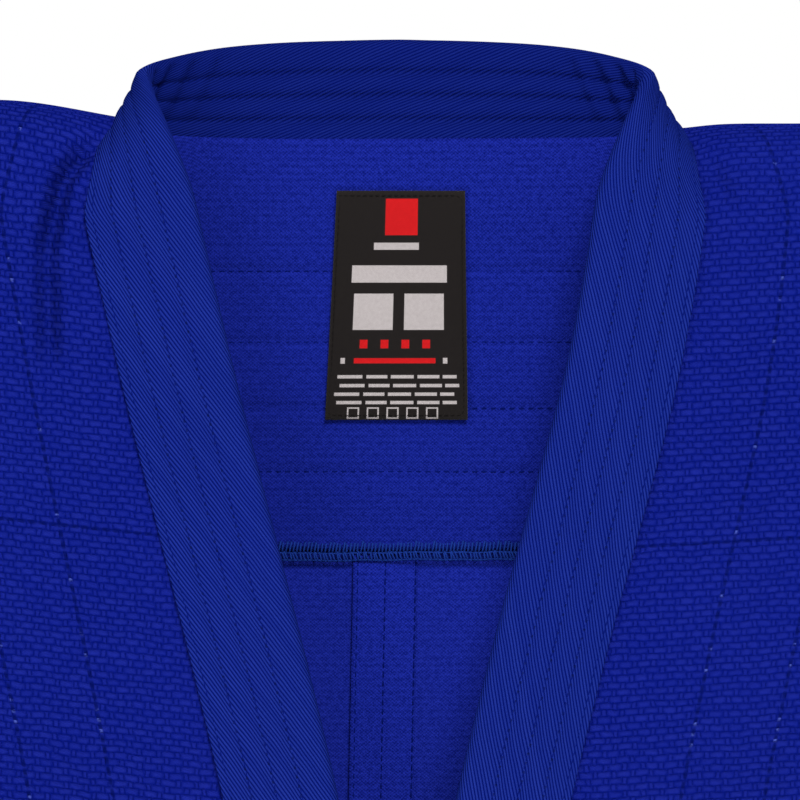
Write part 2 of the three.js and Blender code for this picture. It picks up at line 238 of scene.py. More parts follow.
# ---- where the cloth of the body hangs ----
def drape(s):
    """Depth, height and outward direction at a distance s over the shoulder from its top."""
    s = np.asarray(s, float)
    angle = np.clip(s, 0, OVER) / SHOULDER_RADIUS
    fall = np.maximum(s - OVER, 0) / LEAN
    depth = SHOULDER_RADIUS * np.sin(angle) + SLOPE * fall
    height = ARCH + SHOULDER_RADIUS * np.cos(angle) - fall
    flat = (s > OVER).astype(float)
    out_y = np.sin(angle) * (1 - flat) + flat / LEAN
    out_z = np.cos(angle) * (1 - flat) + flat * SLOPE / LEAN
    return depth, height, out_y, out_z


def reach(z):
    """Distance over the shoulder to a height below the shoulder's arch."""
    return OVER + (ARCH - np.asarray(z, float)) * LEAN


def body_depth(z):
    """How far the hanging cloth is from the middle plane at a height."""
    return SHOULDER_RADIUS + SLOPE * (ARCH - z)


def crease_depth(side, x, z):
    total = np.zeros(np.broadcast(x, z).shape)
    for where, start, end, depth, width in CREASES:
        if where != side:
            continue
        (ax, az), (bx, bz) = start, end
        length2 = (bx - ax) ** 2 + (bz - az) ** 2
        t = ((x - ax) * (bx - ax) + (z - az) * (bz - az)) / length2
        inside = np.clip(t, 0, 1)
        gap2 = (x - ax - inside * (bx - ax)) ** 2 + (z - az - inside * (bz - az)) ** 2
        ridge = np.exp(-gap2 / width ** 2) - 0.12 * np.exp(-gap2 / (2.4 * width) ** 2)
        total = total + depth * ridge * smooth(-0.15, 0.3, t) * smooth(1.15, 0.7, t)
    return total


def beside_lapel(x, z):
    """Roughly how far a place on a front is from the lapel's seam."""
    half_across = 0.0237
    seam_z, seam_x = zip(*((z, x + half_across) for x, z in LAPEL_ROUTES["left"][::-1]))
    seam_z, seam_x = seam_z + (-0.017, -0.005, 0.004), seam_x + (0.1235, 0.119, 0.111)
    return np.abs(x) - np.interp(z, seam_z, seam_x)


def hang(side, x, z):
    """How far the hanging cloth stands out from its even surface."""
    x, z = np.asarray(x, float), np.asarray(z, float)
    seed = 11 if side == "front" else 37
    fall = smooth(-0.16, -0.66, z)
    sway = 0.10 * np.sin(z / 0.11 + seed) + 0.06 * ripple(x, z, 0.16, seed + 5)
    folds = 0.0042 * fall * np.sin(2 * math.pi * (x / 0.155 + sway + seed * 0.13))
    dents = 0.0019 * ripple(x, z, 0.075, seed) + 0.0007 * ripple(x, z, 0.026, seed + 1)
    edge = 1 - smooth(FLAT, HALF_WIDTH - 0.004, np.abs(x))
    top = smooth(-0.004, -0.060, z)
    creases = crease_depth(side, x, z)
    if side == "front":
        away = beside_lapel(x, z)
        creases = creases * smooth(-0.002, 0.008, away)
        creases = creases + 0.0026 * smooth(0.016, 0.0, away) * smooth(-0.095, -0.035, z)
    return ((folds + dents * top) * smooth(0.0, -0.02, z)
            - creases * smooth(0.004, -0.006, z)) * edge


def shoulder_lift(x, s):
    """The right shoulder rides up a little beside the neck."""
    away = -np.asarray(x, float)
    rise = 0.0098 * smooth(0.088, 0.166, away) * smooth(0.287, 0.185, away)
    dip = -0.0022 * np.exp(-((away + 0.113) / 0.016) ** 2)
    return (rise + dip) * smooth(0.070, 0.012, s)


def on_cloth(side, x, s, inset=0.0):
    """A point on the front or back cloth, drawn in by inset."""
    depth, z, out_y, out_z = drape(s)
    turn = -1 if side == "front" else 1
    lift = hang(side, x, z) - inset
    x = np.broadcast_to(x, np.broadcast(x, s).shape)
    return np.stack([x, turn * (depth + out_y * lift), z + out_z * lift + shoulder_lift(x, s)], -1)


def armhole_end(z):
    """How far back from the fold the side of the body reaches at a height: its y, at most 0."""
    across = (z - ARMHOLE) / (SLEEVE_ROUND * ARMHOLE_BELLY) - 1
    if across >= 0:
        return -body_depth(z)
    return -ARMHOLE_BELLY * math.sqrt(max(0.0, 1 - across * across))


def corner_path(z):
    """Plan of one side of the body at a height, from the flat cloth round to the side seam."""
    depth = body_depth(z)
    end = armhole_end(z)
    if z > ARCH:
        depth = math.sqrt(max(0.0, SHOULDER_RADIUS ** 2 - (z - ARCH) ** 2))
        end = -depth
    radius = min(0.92 * depth * float(smooth(ARMHOLE + 0.02, ARMHOLE - 0.05, z)), depth + end)
    angle = np.linspace(0, math.pi / 2, 9)
    arc_x = HALF_WIDTH - radius + radius * np.sin(angle)
    arc_y = depth - radius + radius * np.cos(angle)
    line_x = np.linspace(FLAT, HALF_WIDTH - radius, 10)[:-1]
    return np.vstack([
        np.stack([line_x, np.full(len(line_x), depth)], 1),
        np.stack([arc_x, arc_y], 1),
        [[HALF_WIDTH, min(depth - radius, -end) if end < 0 else 0.0]],
        [[HALF_WIDTH, -end]],
    ])


def corner_row(side, z, count, start=FLAT):
    """Points from x = start round the side of the body at height z, and the length so far."""
    path = corner_path(z)
    step = np.linalg.norm(np.diff(path, axis=0), axis=1)
    lengths = np.r_[0, np.cumsum(step)] + FLAT
    at = np.linspace(min(start, lengths[-1] - 0.0005), lengths[-1], count)
    x = np.interp(at, lengths, path[:, 0])
    y = np.interp(at, lengths, path[:, 1])
    out = hang(side, x, np.full(count, z))
    turn = -1 if side == "front" else 1
    return np.stack([x, turn * (y + out), np.full(count, z)], 1), at


def sleeve_ring(x, count, inset=0.0):
    """Ring round a sleeve from its underside over the top and back, front side first."""
    along = max(0.0, (x - HALF_WIDTH) / (SLEEVE_END - HALF_WIDTH))
    bottom = ARMHOLE + (CUFF_DROP - ARMHOLE) * along + inset
    belly = ARMHOLE_BELLY + (CUFF_DEPTH - ARMHOLE_BELLY) * along - inset
    arch = SHOULDER_RADIUS - inset
    under = np.linspace(0, math.pi / 2, 16)
    over = np.linspace(math.pi / 2, 0, 12)
    half = np.vstack([
        np.stack([belly * np.sin(under), bottom + SLEEVE_ROUND * belly * (1 - np.cos(under))], 1),
        np.stack([arch * np.sin(over), ARCH + arch * np.cos(over)], 1)])
    ring = np.vstack([half * (-1, 1), half[-2::-1]])
    lengths = np.r_[0, np.cumsum(np.linalg.norm(np.diff(ring, axis=0), axis=1))]
    at = np.linspace(0, lengths[-1], count)
    y, z = (np.interp(at, lengths, ring[:, k]) for k in (0, 1))
    return y, z, at - lengths[-1] / 2


# ---- meshes ----
def add_object(name, verts, faces, uv=None, inside=None):
    mesh = bpy.data.meshes.new(name)
    mesh.from_pydata([tuple(v) for v in verts], [], [tuple(f) for f in faces])
    mesh.polygons.foreach_set("use_smooth", [True] * len(mesh.polygons))
    if uv is not None:
        layer = mesh.uv_layers.new(name="UVMap")
        index = np.zeros(len(mesh.loops), int)
        mesh.loops.foreach_get("vertex_index", index)
        layer.data.foreach_set("uv", np.asarray(uv, np.float32)[index].ravel())
    if inside is not None:
        attribute = mesh.attributes.new("inside", "FLOAT", "POINT")
        attribute.data.foreach_set("value", np.asarray(inside, np.float32))
    mesh.update()
    piece = bpy.data.objects.new(name, mesh)
    bpy.context.collection.objects.link(piece)
    return piece


def grid_faces(rows, cols, start=0, flip=False):
    r, c = np.meshgrid(np.arange(rows - 1), np.arange(cols - 1), indexing="ij")
    a = start + (r * cols + c).ravel()
    quads = np.stack([a, a + 1, a + cols + 1, a + cols], 1)
    return quads[:, ::-1] if flip else quads


def shell(name, outer, uv, thickness, outward):
    """Cloth of a thickness behind a grid of points; outward is a rough outside direction."""
    rows, cols = outer.shape[:2]
    normal = unit(np.cross(np.gradient(outer, axis=1), np.gradient(outer, axis=0)))
    flip = float((normal * outward).sum(-1).mean()) < 0
    if flip:
        normal = -normal
    inner = outer - normal * np.broadcast_to(thickness, (rows, cols))[..., None]
    verts = np.vstack([outer.reshape(-1, 3), inner.reshape(-1, 3)])
    count = rows * cols
    faces = [grid_faces(rows, cols, 0, not flip), grid_faces(rows, cols, count, flip)]
    index = np.arange(count).reshape(rows, cols)
    rims = [(index[0], False), (index[-1], True), (index[:, 0], True), (index[:, -1], False)]
    for line, turned in rims:
        a, b = line[:-1], line[1:]
        quad = np.stack([a, b, b + count, a + count], 1)
        faces.append(quad if turned == flip else quad[:, ::-1])
    flat = np.asarray(uv).reshape(-1, 2)
    inside = np.r_[np.zeros(count), np.ones(count)]
    return add_object(name, verts, np.vstack(faces), np.vstack([flat, flat]), inside)


def joined(name, pieces):
    """Several meshes as one object."""
    bpy.ops.object.select_all(action="DESELECT")
    for piece in pieces:
        piece.select_set(True)
    bpy.context.view_layer.objects.active = pieces[0]
    if len(pieces) > 1:
        bpy.ops.object.join()
    pieces[0].name = name
    pieces[0].data.name = name
    return pieces[0]


# ---- materials ----
class Wire:
    """A shader value that can be written in expressions."""

    def __init__(self, finish, socket):
        self.finish, self.socket = finish, socket

    def math(self, operation, *others):
        inputs = {i: value for i, value in enumerate((self, *others))}
        return self.finish.node("ShaderNodeMath", {"operation": operation}, inputs)

    def __rsub__(self, other):
        return self.finish.value(other) - self

    def ramp(self, low, high):
        inputs = {0: self, 1: low, 2: high, 3: 0.0, 4: 1.0}
        return self.finish.node("ShaderNodeMapRange", {"interpolation_type": "SMOOTHSTEP"}, inputs)


def maths(operation):
    """A method of Wire that adds one Math node."""
    return lambda self, *others: self.math(operation, *others)


for method, operation in {
        "__add__": "ADD", "__radd__": "ADD", "__mul__": "MULTIPLY", "__rmul__": "MULTIPLY",
        "__sub__": "SUBTRACT", "__truediv__": "DIVIDE", "__pow__": "POWER", "__abs__": "ABSOLUTE",
        "floor": "FLOOR", "fract": "FRACT", "sine": "SINE", "least": "MINIMUM",
        "most": "MAXIMUM", "above": "GREATER_THAN"}.items():
    setattr(Wire, method, maths(operation))


class Finish:
    """One procedural material, with its nodes made by expressions."""

    def __init__(self, name):
        self.material = bpy.data.materials.new(name)
        self.material.use_nodes = True
        self.tree = self.material.node_tree
        self.tree.nodes.clear()

    def node(self, kind, settings=None, inputs=None, output=0):
        made = self.tree.nodes.new(kind)
        for key, value in (settings or {}).items():
            setattr(made, key, value)
        for key, value in (inputs or {}).items():
            if isinstance(value, Wire):
                self.tree.links.new(value.socket, made.inputs[key])
            else:
                made.inputs[key].default_value = value
        return Wire(self, made.outputs[output])

    def value(self, number):
        made = self.tree.nodes.new("ShaderNodeValue")
        made.outputs[0].default_value = number
        return Wire(self, made.outputs[0])

    def attribute(self, name):
        return self.node("ShaderNodeAttribute", {"attribute_name": name}, output="Fac")

    def uv(self):
        map_uv = self.node("ShaderNodeUVMap", {"uv_map": "UVMap"})
        return (self.node("ShaderNodeSeparateXYZ", inputs={0: map_uv}, output=0),
                self.node("ShaderNodeSeparateXYZ", inputs={0: map_uv}, output=1))

    def place(self):
        return self.node("ShaderNodeTexCoord", output="Object")

    def vector(self, x, y, z=0.0):
        return self.node("ShaderNodeCombineXYZ", inputs={0: x, 1: y, 2: z})

    def noise(self, vector, scale, detail=2.0, roughness=0.5):
        return self.node("ShaderNodeTexNoise", {"noise_dimensions": "3D"}, {
            "Vector": vector, "Scale": scale, "Detail": detail, "Roughness": roughness}, "Fac")

    def random(self, vector):
        return self.node("ShaderNodeTexWhiteNoise", {"noise_dimensions": "3D"},
                         {"Vector": vector}, "Value")

    def mix(self, factor, first, second):
        settings = {"data_type": "RGBA"}
        return self.node("ShaderNodeMix", settings, {0: factor, 6: first, 7: second}, 2)

    def cloth(self, colour, height, depth, roughness=0.9, sheen=0.0):
        """Closes the material: matt cotton of a colour, with a bump of a height in metres."""
        bump = self.node("ShaderNodeBump", inputs={"Distance": depth, "Height": height})
        shader = self.node("ShaderNodeBsdfPrincipled", inputs={
            "Base Color": colour, "Roughness": roughness, "Normal": bump, "Sheen Weight": sheen,
            "Specular IOR Level": 0.0})
        output = self.tree.nodes.new("ShaderNodeOutputMaterial")
        self.tree.links.new(shader.socket, output.inputs["Surface"])
        return self.material


def rgb(r, g, b):
    """A colour as it should look; the lamps are this much stronger than the sky."""
    return (r * LAMP_SHARE, g * LAMP_SHARE, b * LAMP_SHARE, 1.0)


def rice_pattern(f, u, v):
    """Height and tone of the rice-grain weave: long floats in rows, each row half on."""
    row_pitch, float_pitch, float_share = 0.00276, 0.0076, 0.76
    v = v + (f.noise(f.vector(u, v), 60.0) - 0.5) * 0.0022
    v = v + (f.noise(f.vector(u, v, 7.0), 260.0) - 0.5) * 0.0009
    u = u + (f.noise(f.vector(v, u, 3.0), 90.0) - 0.5) * 0.0030
    row = v / row_pitch
    jog = f.random(f.vector(row.floor(), 5.0)) * 0.16
    across = abs(row.fract() * 2.0 - 1.0)
    along = u / float_pitch + (row.floor() * 0.5).fract() + jog
    part = along.fract()
    own = f.random(f.vector(row.floor(), along.floor()))
    lengthwise = abs(part * (2.0 / float_share) - 1.0)
    grain = (1.0 - lengthwise ** 3.0).most(0.0) * (1.0 - across ** 1.8)
    between = abs((part - float_share) * (2.0 / (1.0 - float_share)) - 1.0)
    pick = (1.0 - between ** 3.0) * (1.0 - across ** 3.0) * 0.72 * part.above(float_share)
    threads = ((u * 0.45 + v) * (2 * math.pi / 0.00062)).sine() * 0.16
    fuzz = f.noise(f.vector(u * 0.7, v), 800.0, 3.0, 0.75) - 0.5
    height = grain * (0.86 + own * 0.14)
    height = height.most(pick)
    return height * (1.0 + threads) + fuzz * 0.75, own


def plain_pattern(f, u, v):
    """The finer back of the cloth: a plain weave with faint rows."""
    wave = (u * (2 * math.pi / 0.0016)).sine() * (v * (2 * math.pi / 0.00138)).sine()
    rows = (v * (2 * math.pi / 0.00276)).sine()
    fuzz = f.noise(f.vector(u, v), 950.0, 3.0, 0.75) - 0.5
    coarse = f.noise(f.vector(u, v, 2.0), 420.0, 2.0, 0.6) - 0.5
    return wave * 0.30 + rows * 0.08 + fuzz * 1.7 + coarse * 0.9 + 0.5


def worn(f, colour, amount=0.35):
    """Broad soft variation of a colour, as dyed cotton has."""
    broad = f.noise(f.place(), 9.0, 3.0)
    return f.mix((broad - 0.42).most(0.0) * amount, colour, rgb(0.0085, 0.018, 0.26))


def rice_finish():
    """Rice weave outside, plain weave inside, with rows of dashes beside the lapels."""
    f = Finish("rice weave")
    u, v = f.uv()
    height, own = rice_pattern(f, u, v)
    fine = plain_pattern(f, u, v)
    floats = f.mix(own, rgb(0.0066, 0.0134, 0.208), rgb(0.0088, 0.0164, 0.226))
    outside = f.mix(height.ramp(-0.15, 1.05), rgb(0.0009, 0.0040, 0.116), floats)
    lint = f.noise(f.vector(u, v, 4.0), 1500.0, 2.0, 0.7).ramp(0.56, 0.76)
    outside = f.mix(lint * 0.55, outside, rgb(0.0190, 0.0320, 0.270))
    inside = f.mix(fine.ramp(0.0, 1.0), rgb(0.0032, 0.0076, 0.150), rgb(0.0126, 0.0240, 0.310))
    face = f.attribute("inside")
    from_lapel = f.attribute("from_lapel")
    first = from_lapel - v * ROW_SPREAD - ROW_START
    level = v - (float(reach(OVERLOCK)) + 0.003)
    dash, level_dash = (v / ROW_STITCH).fract(), (u / ROW_STITCH).fract()
    lucky = f.random(f.vector((v / ROW_STITCH).floor(), 0.0))
    seam = f.value(0.0)
    for line, run, share in ((first, dash, 1.0), (first - ROW_APART, dash, 1.0),
                             (level, level_dash, from_lapel.above(0.0005) * 0.8)):
        near = 1.0 - abs(line).ramp(0.0003, 0.0010)
        seam = seam.most(near * (1.0 - abs(run * 2.0 - 1.0) ** 2.0) * share)
    outside = f.mix(seam * 0.8, outside, rgb(0.0010, 0.0034, 0.070))
    speck = lucky.above(0.74) * dash.above(0.62) * f.noise(f.place(), 900.0).ramp(0.40, 0.60)
    outside = f.mix(seam * speck, outside, rgb(0.060, 0.090, 0.42))
    colour = worn(f, f.mix(face, outside, inside))
    relief = (height - seam * 0.7) * (1.0 - face) + fine * face * 0.22
    return f.cloth(colour, relief, 0.00060)


def plain_finish(name, lift=1.0):
    f = Finish(name)
    u, v = f.uv()
    fine = plain_pattern(f, u, v)
    # lift scales both colours; above 1 it makes a lighter copy of the cloth that paints light on a
    # piece.
    low = rgb(0.0024 * lift, 0.0060 * lift, 0.118 * lift)
    high = rgb(0.0100 * lift, 0.0195 * lift, 0.262 * lift)
    colour = f.mix(fine.ramp(0.0, 1.0), low, high)
    return f.cloth(worn(f, colour), fine, 0.00016)


def diamond_finish():
    """Skirt cloth: plain cotton quilted in small diamonds."""
    f = Finish("diamond cloth")
    u, v = f.uv()
    pitch = 0.0115
    first, second = (abs(((u + v * k) / pitch).fract() * 2.0 - 1.0) for k in (1.0, -1.0))
    pillow = (1.0 - first ** 3.0) * (1.0 - second ** 3.0)
    weave = (u * (2 * math.pi / 0.0011)).sine() * (v * (2 * math.pi / 0.0011)).sine()
    height = pillow * 0.8 + weave * 0.07
    light = f.mix(pillow.ramp(0.0, 0.5), rgb(0.0016, 0.0050, 0.105), rgb(0.0066, 0.0135, 0.225))
    return f.cloth(worn(f, light), height, 0.0009)


def twill_finish():
    """Lapel cover: round ribs that run slanting along the band, notched by the quilting, with painted
    shade on the collar's inner face at the neck.
    """
    f = Finish("lapel twill")
    u, v = f.uv()
    slant, rib = math.radians(23.5), 0.00129
    bend = f.noise(f.vector(u, v), 40.0) - 0.5
    bow = f.value(0.0)
    notch = f.value(0.0)
    dash = (u / 0.0039).fract()
    for row in QUILT_ROWS:
        side = v - row * BAND_WIDTH
        near = 1.0 - abs(side).ramp(0.0, 0.0042)
        bow = bow + near * 0.00030
        notch = notch.most((1.0 - abs(side).ramp(0.0001, 0.0006)) * (1.0 - dash.ramp(0.10, 0.45)))
    line = (v * math.cos(slant) + u * math.sin(slant) + bend * 0.0011 + bow) / rib
    ridge = abs((line * math.pi).sine())
    yarn = f.noise(f.vector(u * 3.0, v), 900.0, 2.0, 0.6)
    own = f.random(f.vector(line.floor(), 0.0))
    lit = f.mix(own, rgb(0.0080, 0.0194, 0.188), rgb(0.0102, 0.0236, 0.208))
    colour = f.mix((ridge * 0.95 + yarn * 0.3).ramp(0.20, 1.10), rgb(0.0003, 0.0028, 0.106), lit)
    # Painted shade: the collar's inner face by the neck is darkened where the inside attribute is
    # set.
    colour = f.mix(f.attribute("inside") * 0.5, colour, rgb(0.0012, 0.0040, 0.080))
    colour = f.mix(notch * 0.7, colour, rgb(0.0030, 0.0060, 0.060))
    return f.cloth(worn(f, colour, 0.2), ridge + yarn * 0.25 - notch, 0.00036)


def thread_finish(name, colour, roughness=0.55):
    f = Finish(name)
    tone = f.noise(f.place(), 1800.0, 2.0)
    shade = f.mix(tone, rgb(*(c * 0.6 for c in colour)), rgb(*(min(1.0, c * 1.35) for c in colour)))
    return f.cloth(shade, tone, 0.00012, roughness=roughness)


def label_finish():
    """Woven label with plain blocks and bars in grey and red on black."""
    f = Finish("label weave")
    u, v = f.uv()
    ribs = (v * (2 * math.pi / 0.00042)).sine() * (u * (2 * math.pi / 0.00055)).sine()
    tone = f.noise(f.place(), 700.0, 2.0)
    thread = ribs.ramp(-1.0, 1.0) * 0.6 + tone * 0.4
    colour = f.mix(thread, rgb(0.0075, 0.0062, 0.0060), rgb(0.0150, 0.0125, 0.0122))
    raised = f.value(0.0)
    for marks, dark, light in (
            (LABEL_GREY, rgb(0.26, 0.23, 0.23), rgb(0.50, 0.46, 0.46)),
            (LABEL_RED, rgb(0.34, 0.005, 0.007), rgb(0.58, 0.011, 0.013))):
        covered = f.value(0.0)
        for middle_u, middle_v, half_u, half_v in marks:
            inside = (half_u - abs(u - middle_u)).least(half_v - abs(v - middle_v))
            covered = covered.most(inside.ramp(-0.00012, 0.00012))
        colour = f.mix(covered, colour, f.mix(thread, dark, light))
        raised = raised.most(covered)
    return f.cloth(colour, thread + raised * 1.5, 0.00009, roughness=0.75, sheen=0.05)


RICE = rice_finish()
PLAIN = plain_finish("lining cloth")
# The centre strip gets a 1.3 times lighter copy of the lining cloth: painted light, for the light
# that falls on it.
STRIP_CLOTH_PAINTED_LIGHT = plain_finish("strip cloth painted lighter", 1.3)
DIAMOND = diamond_finish()
TWILL = twill_finish()
THREAD = thread_finish("seam thread", (0.0022, 0.0070, 0.120))
OVERLOCK_THREAD = thread_finish("overlock thread", (0.0085, 0.0300, 0.215), 0.6)
BLACK_THREAD = thread_finish("black thread", (0.010, 0.009, 0.009))
LABEL_CLOTH = label_finish()


def finish_with(piece, material, slot, *nodes):
    """Gives a piece its finish, and hides the parts of the frame that it stands for."""
    piece.data.materials.clear()
    piece.data.materials.append(material)
    if nodes:
        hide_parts(*nodes)
    return piece


# ---- pieces at the joints: their transforms baked into their meshes, with no bending ----
def joint_place(name):
    joint = next(j for j in frame["record"]["behaviour"]["joints"] if j["name"] == name)
    return Vector(joint["pos_m"]), Vector(joint["axis"])


def bend_front(piece, side):
    """Finds the slanting fold's joint and its inward side, then bakes the front's transform; the
    front is not turned.
    """
    place, axis = joint_place(f"{side}_front_opens")
    inward = axis.cross(Vector((0, 1, 0))).normalized()
    if inward.x * place.x > 0:
        inward = -inward
    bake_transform(piece)


def bend_lapel(piece):
    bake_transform(piece)


def bend_sleeve(piece, side):
    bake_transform(piece)


def bend_elbow(piece, side):
    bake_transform(piece)


def bend_tail(piece):
    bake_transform(piece)


def declare_sheet(piece, *patterns, held="hung"):
    """Works out a cloth's flat size and cut area from the pattern coordinates of its parts, laid side
    by side, and keeps none of it.
    """
    width = height = cut = 0.0
    for uv in patterns:
        edge_a, edge_b = uv[1:, :-1] - uv[:-1, :-1], uv[:-1, 1:] - uv[:-1, :-1]
        cut += float(np.abs(edge_a[..., 0] * edge_b[..., 1] - edge_a[..., 1] * edge_b[..., 0]).sum())
        across, down = np.ptp(uv.reshape(-1, 2), axis=0)
        width, height = width + float(across), max(height, float(down))


# ---- the quilted band: collar and lapels ----
def neck_side():
    """Seam and free edge of one half of the collar, middle to lapel, wearer's left."""
    seams, tops = [], []
    for (x, depth, z), rise in NECK_STATIONS:
        seam = np.array([x, depth * SHOULDER_RADIUS, z])
        seams.append(seam)
        tops.append(seam + np.array(rise) * BAND_WIDTH)
    return seams, tops


def lapel_side(side):
    """Seam and free edge of a lapel from top to hem, drawn for the wearer's left."""
    route = LAPEL_ROUTES[side] + [(LAPEL_FOOT, z) for z in LAPEL_STRAIGHT]
    line = spaced(catmull(route, 12), 0.004)
    along = unit(np.gradient(line, axis=0))
    along[0] = unit(np.array([-LAPEL_LEAN[1], -LAPEL_LEAN[0]]))
    inward = np.stack([along[:, 1], -along[:, 0]], 1)
    edges = []
    for offset in (-BAND_WIDTH / 2, BAND_WIDTH / 2):
        x, z = (line + inward * offset).T
        depth = body_depth(z) - BAND_PROUD
        edges.append(np.stack([x, -depth - hang("front", TURN[side] * line[:, 0], line[:, 1]), z], 1))
    return edges


def whole_band():
    """Both edges of the band from the wearer's right hem round the neck to the left hem."""
    halves = {}
    per_span, onward = 12, 6
    for side in ("right", "left"):
        neck_seam, neck_top = neck_side()
        lapel_seam, lapel_top = lapel_side(side)
        edges = []
        for neck, lapel in ((neck_seam, lapel_seam), (neck_top, lapel_top)):
            curve = catmull(np.vstack([neck, lapel[0], lapel[onward]]), per_span)
            top = curve[:per_span * len(neck) + 1]
            edges.append(np.vstack([top, lapel[1:]]))
        halves[side] = [edge * (TURN[side], 1, 1) for edge in edges]
    return [np.vstack([halves["right"][k][:0:-1], halves["left"][k]]) for k in (0, 1)]


def even_band(seam, top, step=0.0026):
    middle = (seam + top) / 2
    lengths = np.r_[0, np.cumsum(np.linalg.norm(np.diff(middle, axis=0), axis=1))]
    at = np.linspace(0, lengths[-1], int(lengths[-1] / step))
    pick = [np.stack([np.interp(at, lengths, e[:, k]) for k in range(3)], 1) for e in (seam, top)]
    for _ in range(3):
        for edge in pick:
            edge[1:-1] = edge[1:-1] * 0.5 + (edge[:-2] + edge[2:]) * 0.25
    return pick[0], pick[1], at


def band_thickness(w, pull=0.45):
    """Half the thickness at a share w of the width: quilted in rows, with a round nose."""
    half = BAND_THICKNESS / 2
    nose = half / BAND_WIDTH
    body = half * (0.82 + 0.18 * smooth(0.0, 0.16, w))
    for row in QUILT_ROWS:
        body = body - 0.0011 * pull * np.exp(-((w - row) / 0.030) ** 2)
        body = body - 0.0007 * pull * np.exp(-((w - row) / 0.085) ** 2)
    tip = np.sqrt(np.clip(1 - (np.clip(w - (1 - nose), 0, None) / nose) ** 2, 0, 1))
    return body * tip


BAND_SEAM, BAND_TOP, BAND_AT = even_band(*whole_band())
BAND_ALONG = unit(np.gradient((BAND_SEAM + BAND_TOP) / 2, axis=0))
BAND_ACROSS = unit(BAND_TOP - BAND_SEAM)
BAND_OUT = unit(np.cross(BAND_ACROSS, BAND_ALONG))
BAND_SPAN = np.linalg.norm(BAND_TOP - BAND_SEAM, axis=1)


def band_point(i, w, face):
    """Point on the band at station i and share w of the width; face is 1 out, -1 in."""
    at, x, y = BAND_AT[i], abs(BAND_SEAM[i, 0]), BAND_SEAM[i, 1]
    pull = 0.45 if face > 0 else 0.45 + 0.9 * float(smooth(-0.020, 0.006, y))
    lift = face * band_thickness(w, pull)
    lift += face * 0.0005 * float(ripple(at, w * BAND_WIDTH, 0.018, 5) * smooth(0.05, 0.25, w))
    if face < 0 and y > -0.014:
        # Where the band turns the corner of the neck its inner side gathers in short folds.
        corner = float(smooth(0.070, 0.086, x) * smooth(0.124, 0.108, x))
        wave = math.sin(2 * math.pi * (at * math.copysign(1, BAND_SEAM[i, 0]) / 0.0125 + 0.9 * w))
        lift += 0.0015 * corner * wave * float(smooth(0.10, 0.5, w) * smooth(1.0, 0.86, w))
    return BAND_SEAM[i] + BAND_ACROSS[i] * (w * BAND_SPAN[i]) + BAND_OUT[i] * lift


def band_piece(name, first, last):
    flat = np.linspace(0, 0.90, 46)
    nose = 0.90 + 0.10 * np.sin(np.linspace(0, math.pi / 2, 9)[1:])
    shares = np.r_[flat, nose]
    rounds = [(w, 1) for w in shares] + [(w, -1) for w in shares[-2::-1]]
    profile = np.array([[w * BAND_WIDTH, face * band_thickness(w)] for w, face in rounds])
    around = np.r_[0, np.cumsum(np.linalg.norm(np.diff(profile, axis=0), axis=1))]
    stations = range(first, last + 1)
    verts = np.array([[band_point(i, w, face) for w, face in rounds] for i in stations])
    rows, cols = verts.shape[:2]
    uv = np.array([[(BAND_AT[i], a) for a in around] for i in stations])
    # The seam side closes from the last point of the inner face to the first of the outer.
    index = np.arange(rows * cols).reshape(rows, cols)
    faces = [tuple(q) for q in grid_faces(rows, cols)]
    for r in range(rows - 1):
        faces.append((index[r, -1], index[r, 0], index[r + 1, 0], index[r + 1, -1]))
    points, pattern = verts.reshape(-1, 3), uv.reshape(-1, 2)
    count = len(points)
    faces.append(tuple(range(count + cols - 1, count - 1, -1)))
    faces.append(tuple(range(count + cols, count + 2 * cols)))
    points = np.vstack([points, verts[0], verts[-1]])
    pattern = np.vstack([pattern, uv[0], uv[-1]])
    # The inner face near the neck gets the inside attribute, which the twill uses to paint shade
    # there.
    neck = smooth(-0.020, 0.006, BAND_SEAM[first:last + 1, 1])
    inner = np.array([face < 0 for w, face in rounds], float)
    inside = (neck[:, None] * inner).ravel()
    inside = np.r_[inside, np.zeros(2 * cols)]
    piece = add_object(name, points, faces, pattern, inside)
    bpy.context.view_layer.update()
    if signed_volume(piece.data) < 0:
        piece.data.flip_normals()
    return finish_with(piece, TWILL, "lapel_twill")


def signed_volume(mesh):
    mesh.calc_loop_triangles()
    corners = np.array([[mesh.vertices[i].co for i in t.vertices] for t in mesh.loop_triangles])
    return float(np.einsum("ij,ij->i", corners[:, 0],
                           np.cross(corners[:, 1], corners[:, 2])).sum())


def lapel_break(side):
    """The station where the collar ends and a lapel starts, just above its fold."""
    middle = (BAND_SEAM + BAND_TOP) / 2
    own_side = middle[:, 0] * TURN[side] > 0
    height = np.where(own_side, np.abs(middle[:, 2] - COLLAR_END), 9)
    return int(np.argmin(height))


def make_band():
    right, left = lapel_break("right"), lapel_break("left")
    collar = band_piece("collar_band", right, left)
    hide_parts("collar", "collar_core")
    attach(collar, "torso")
    for side, span in (("right", (0, right)), ("left", (left, len(BAND_AT) - 1))):
        piece = band_piece(f"{side}_lapel_band", *span)
        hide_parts(f"{side}_lapel", f"{side}_lapel_core")
        bend_lapel(piece)


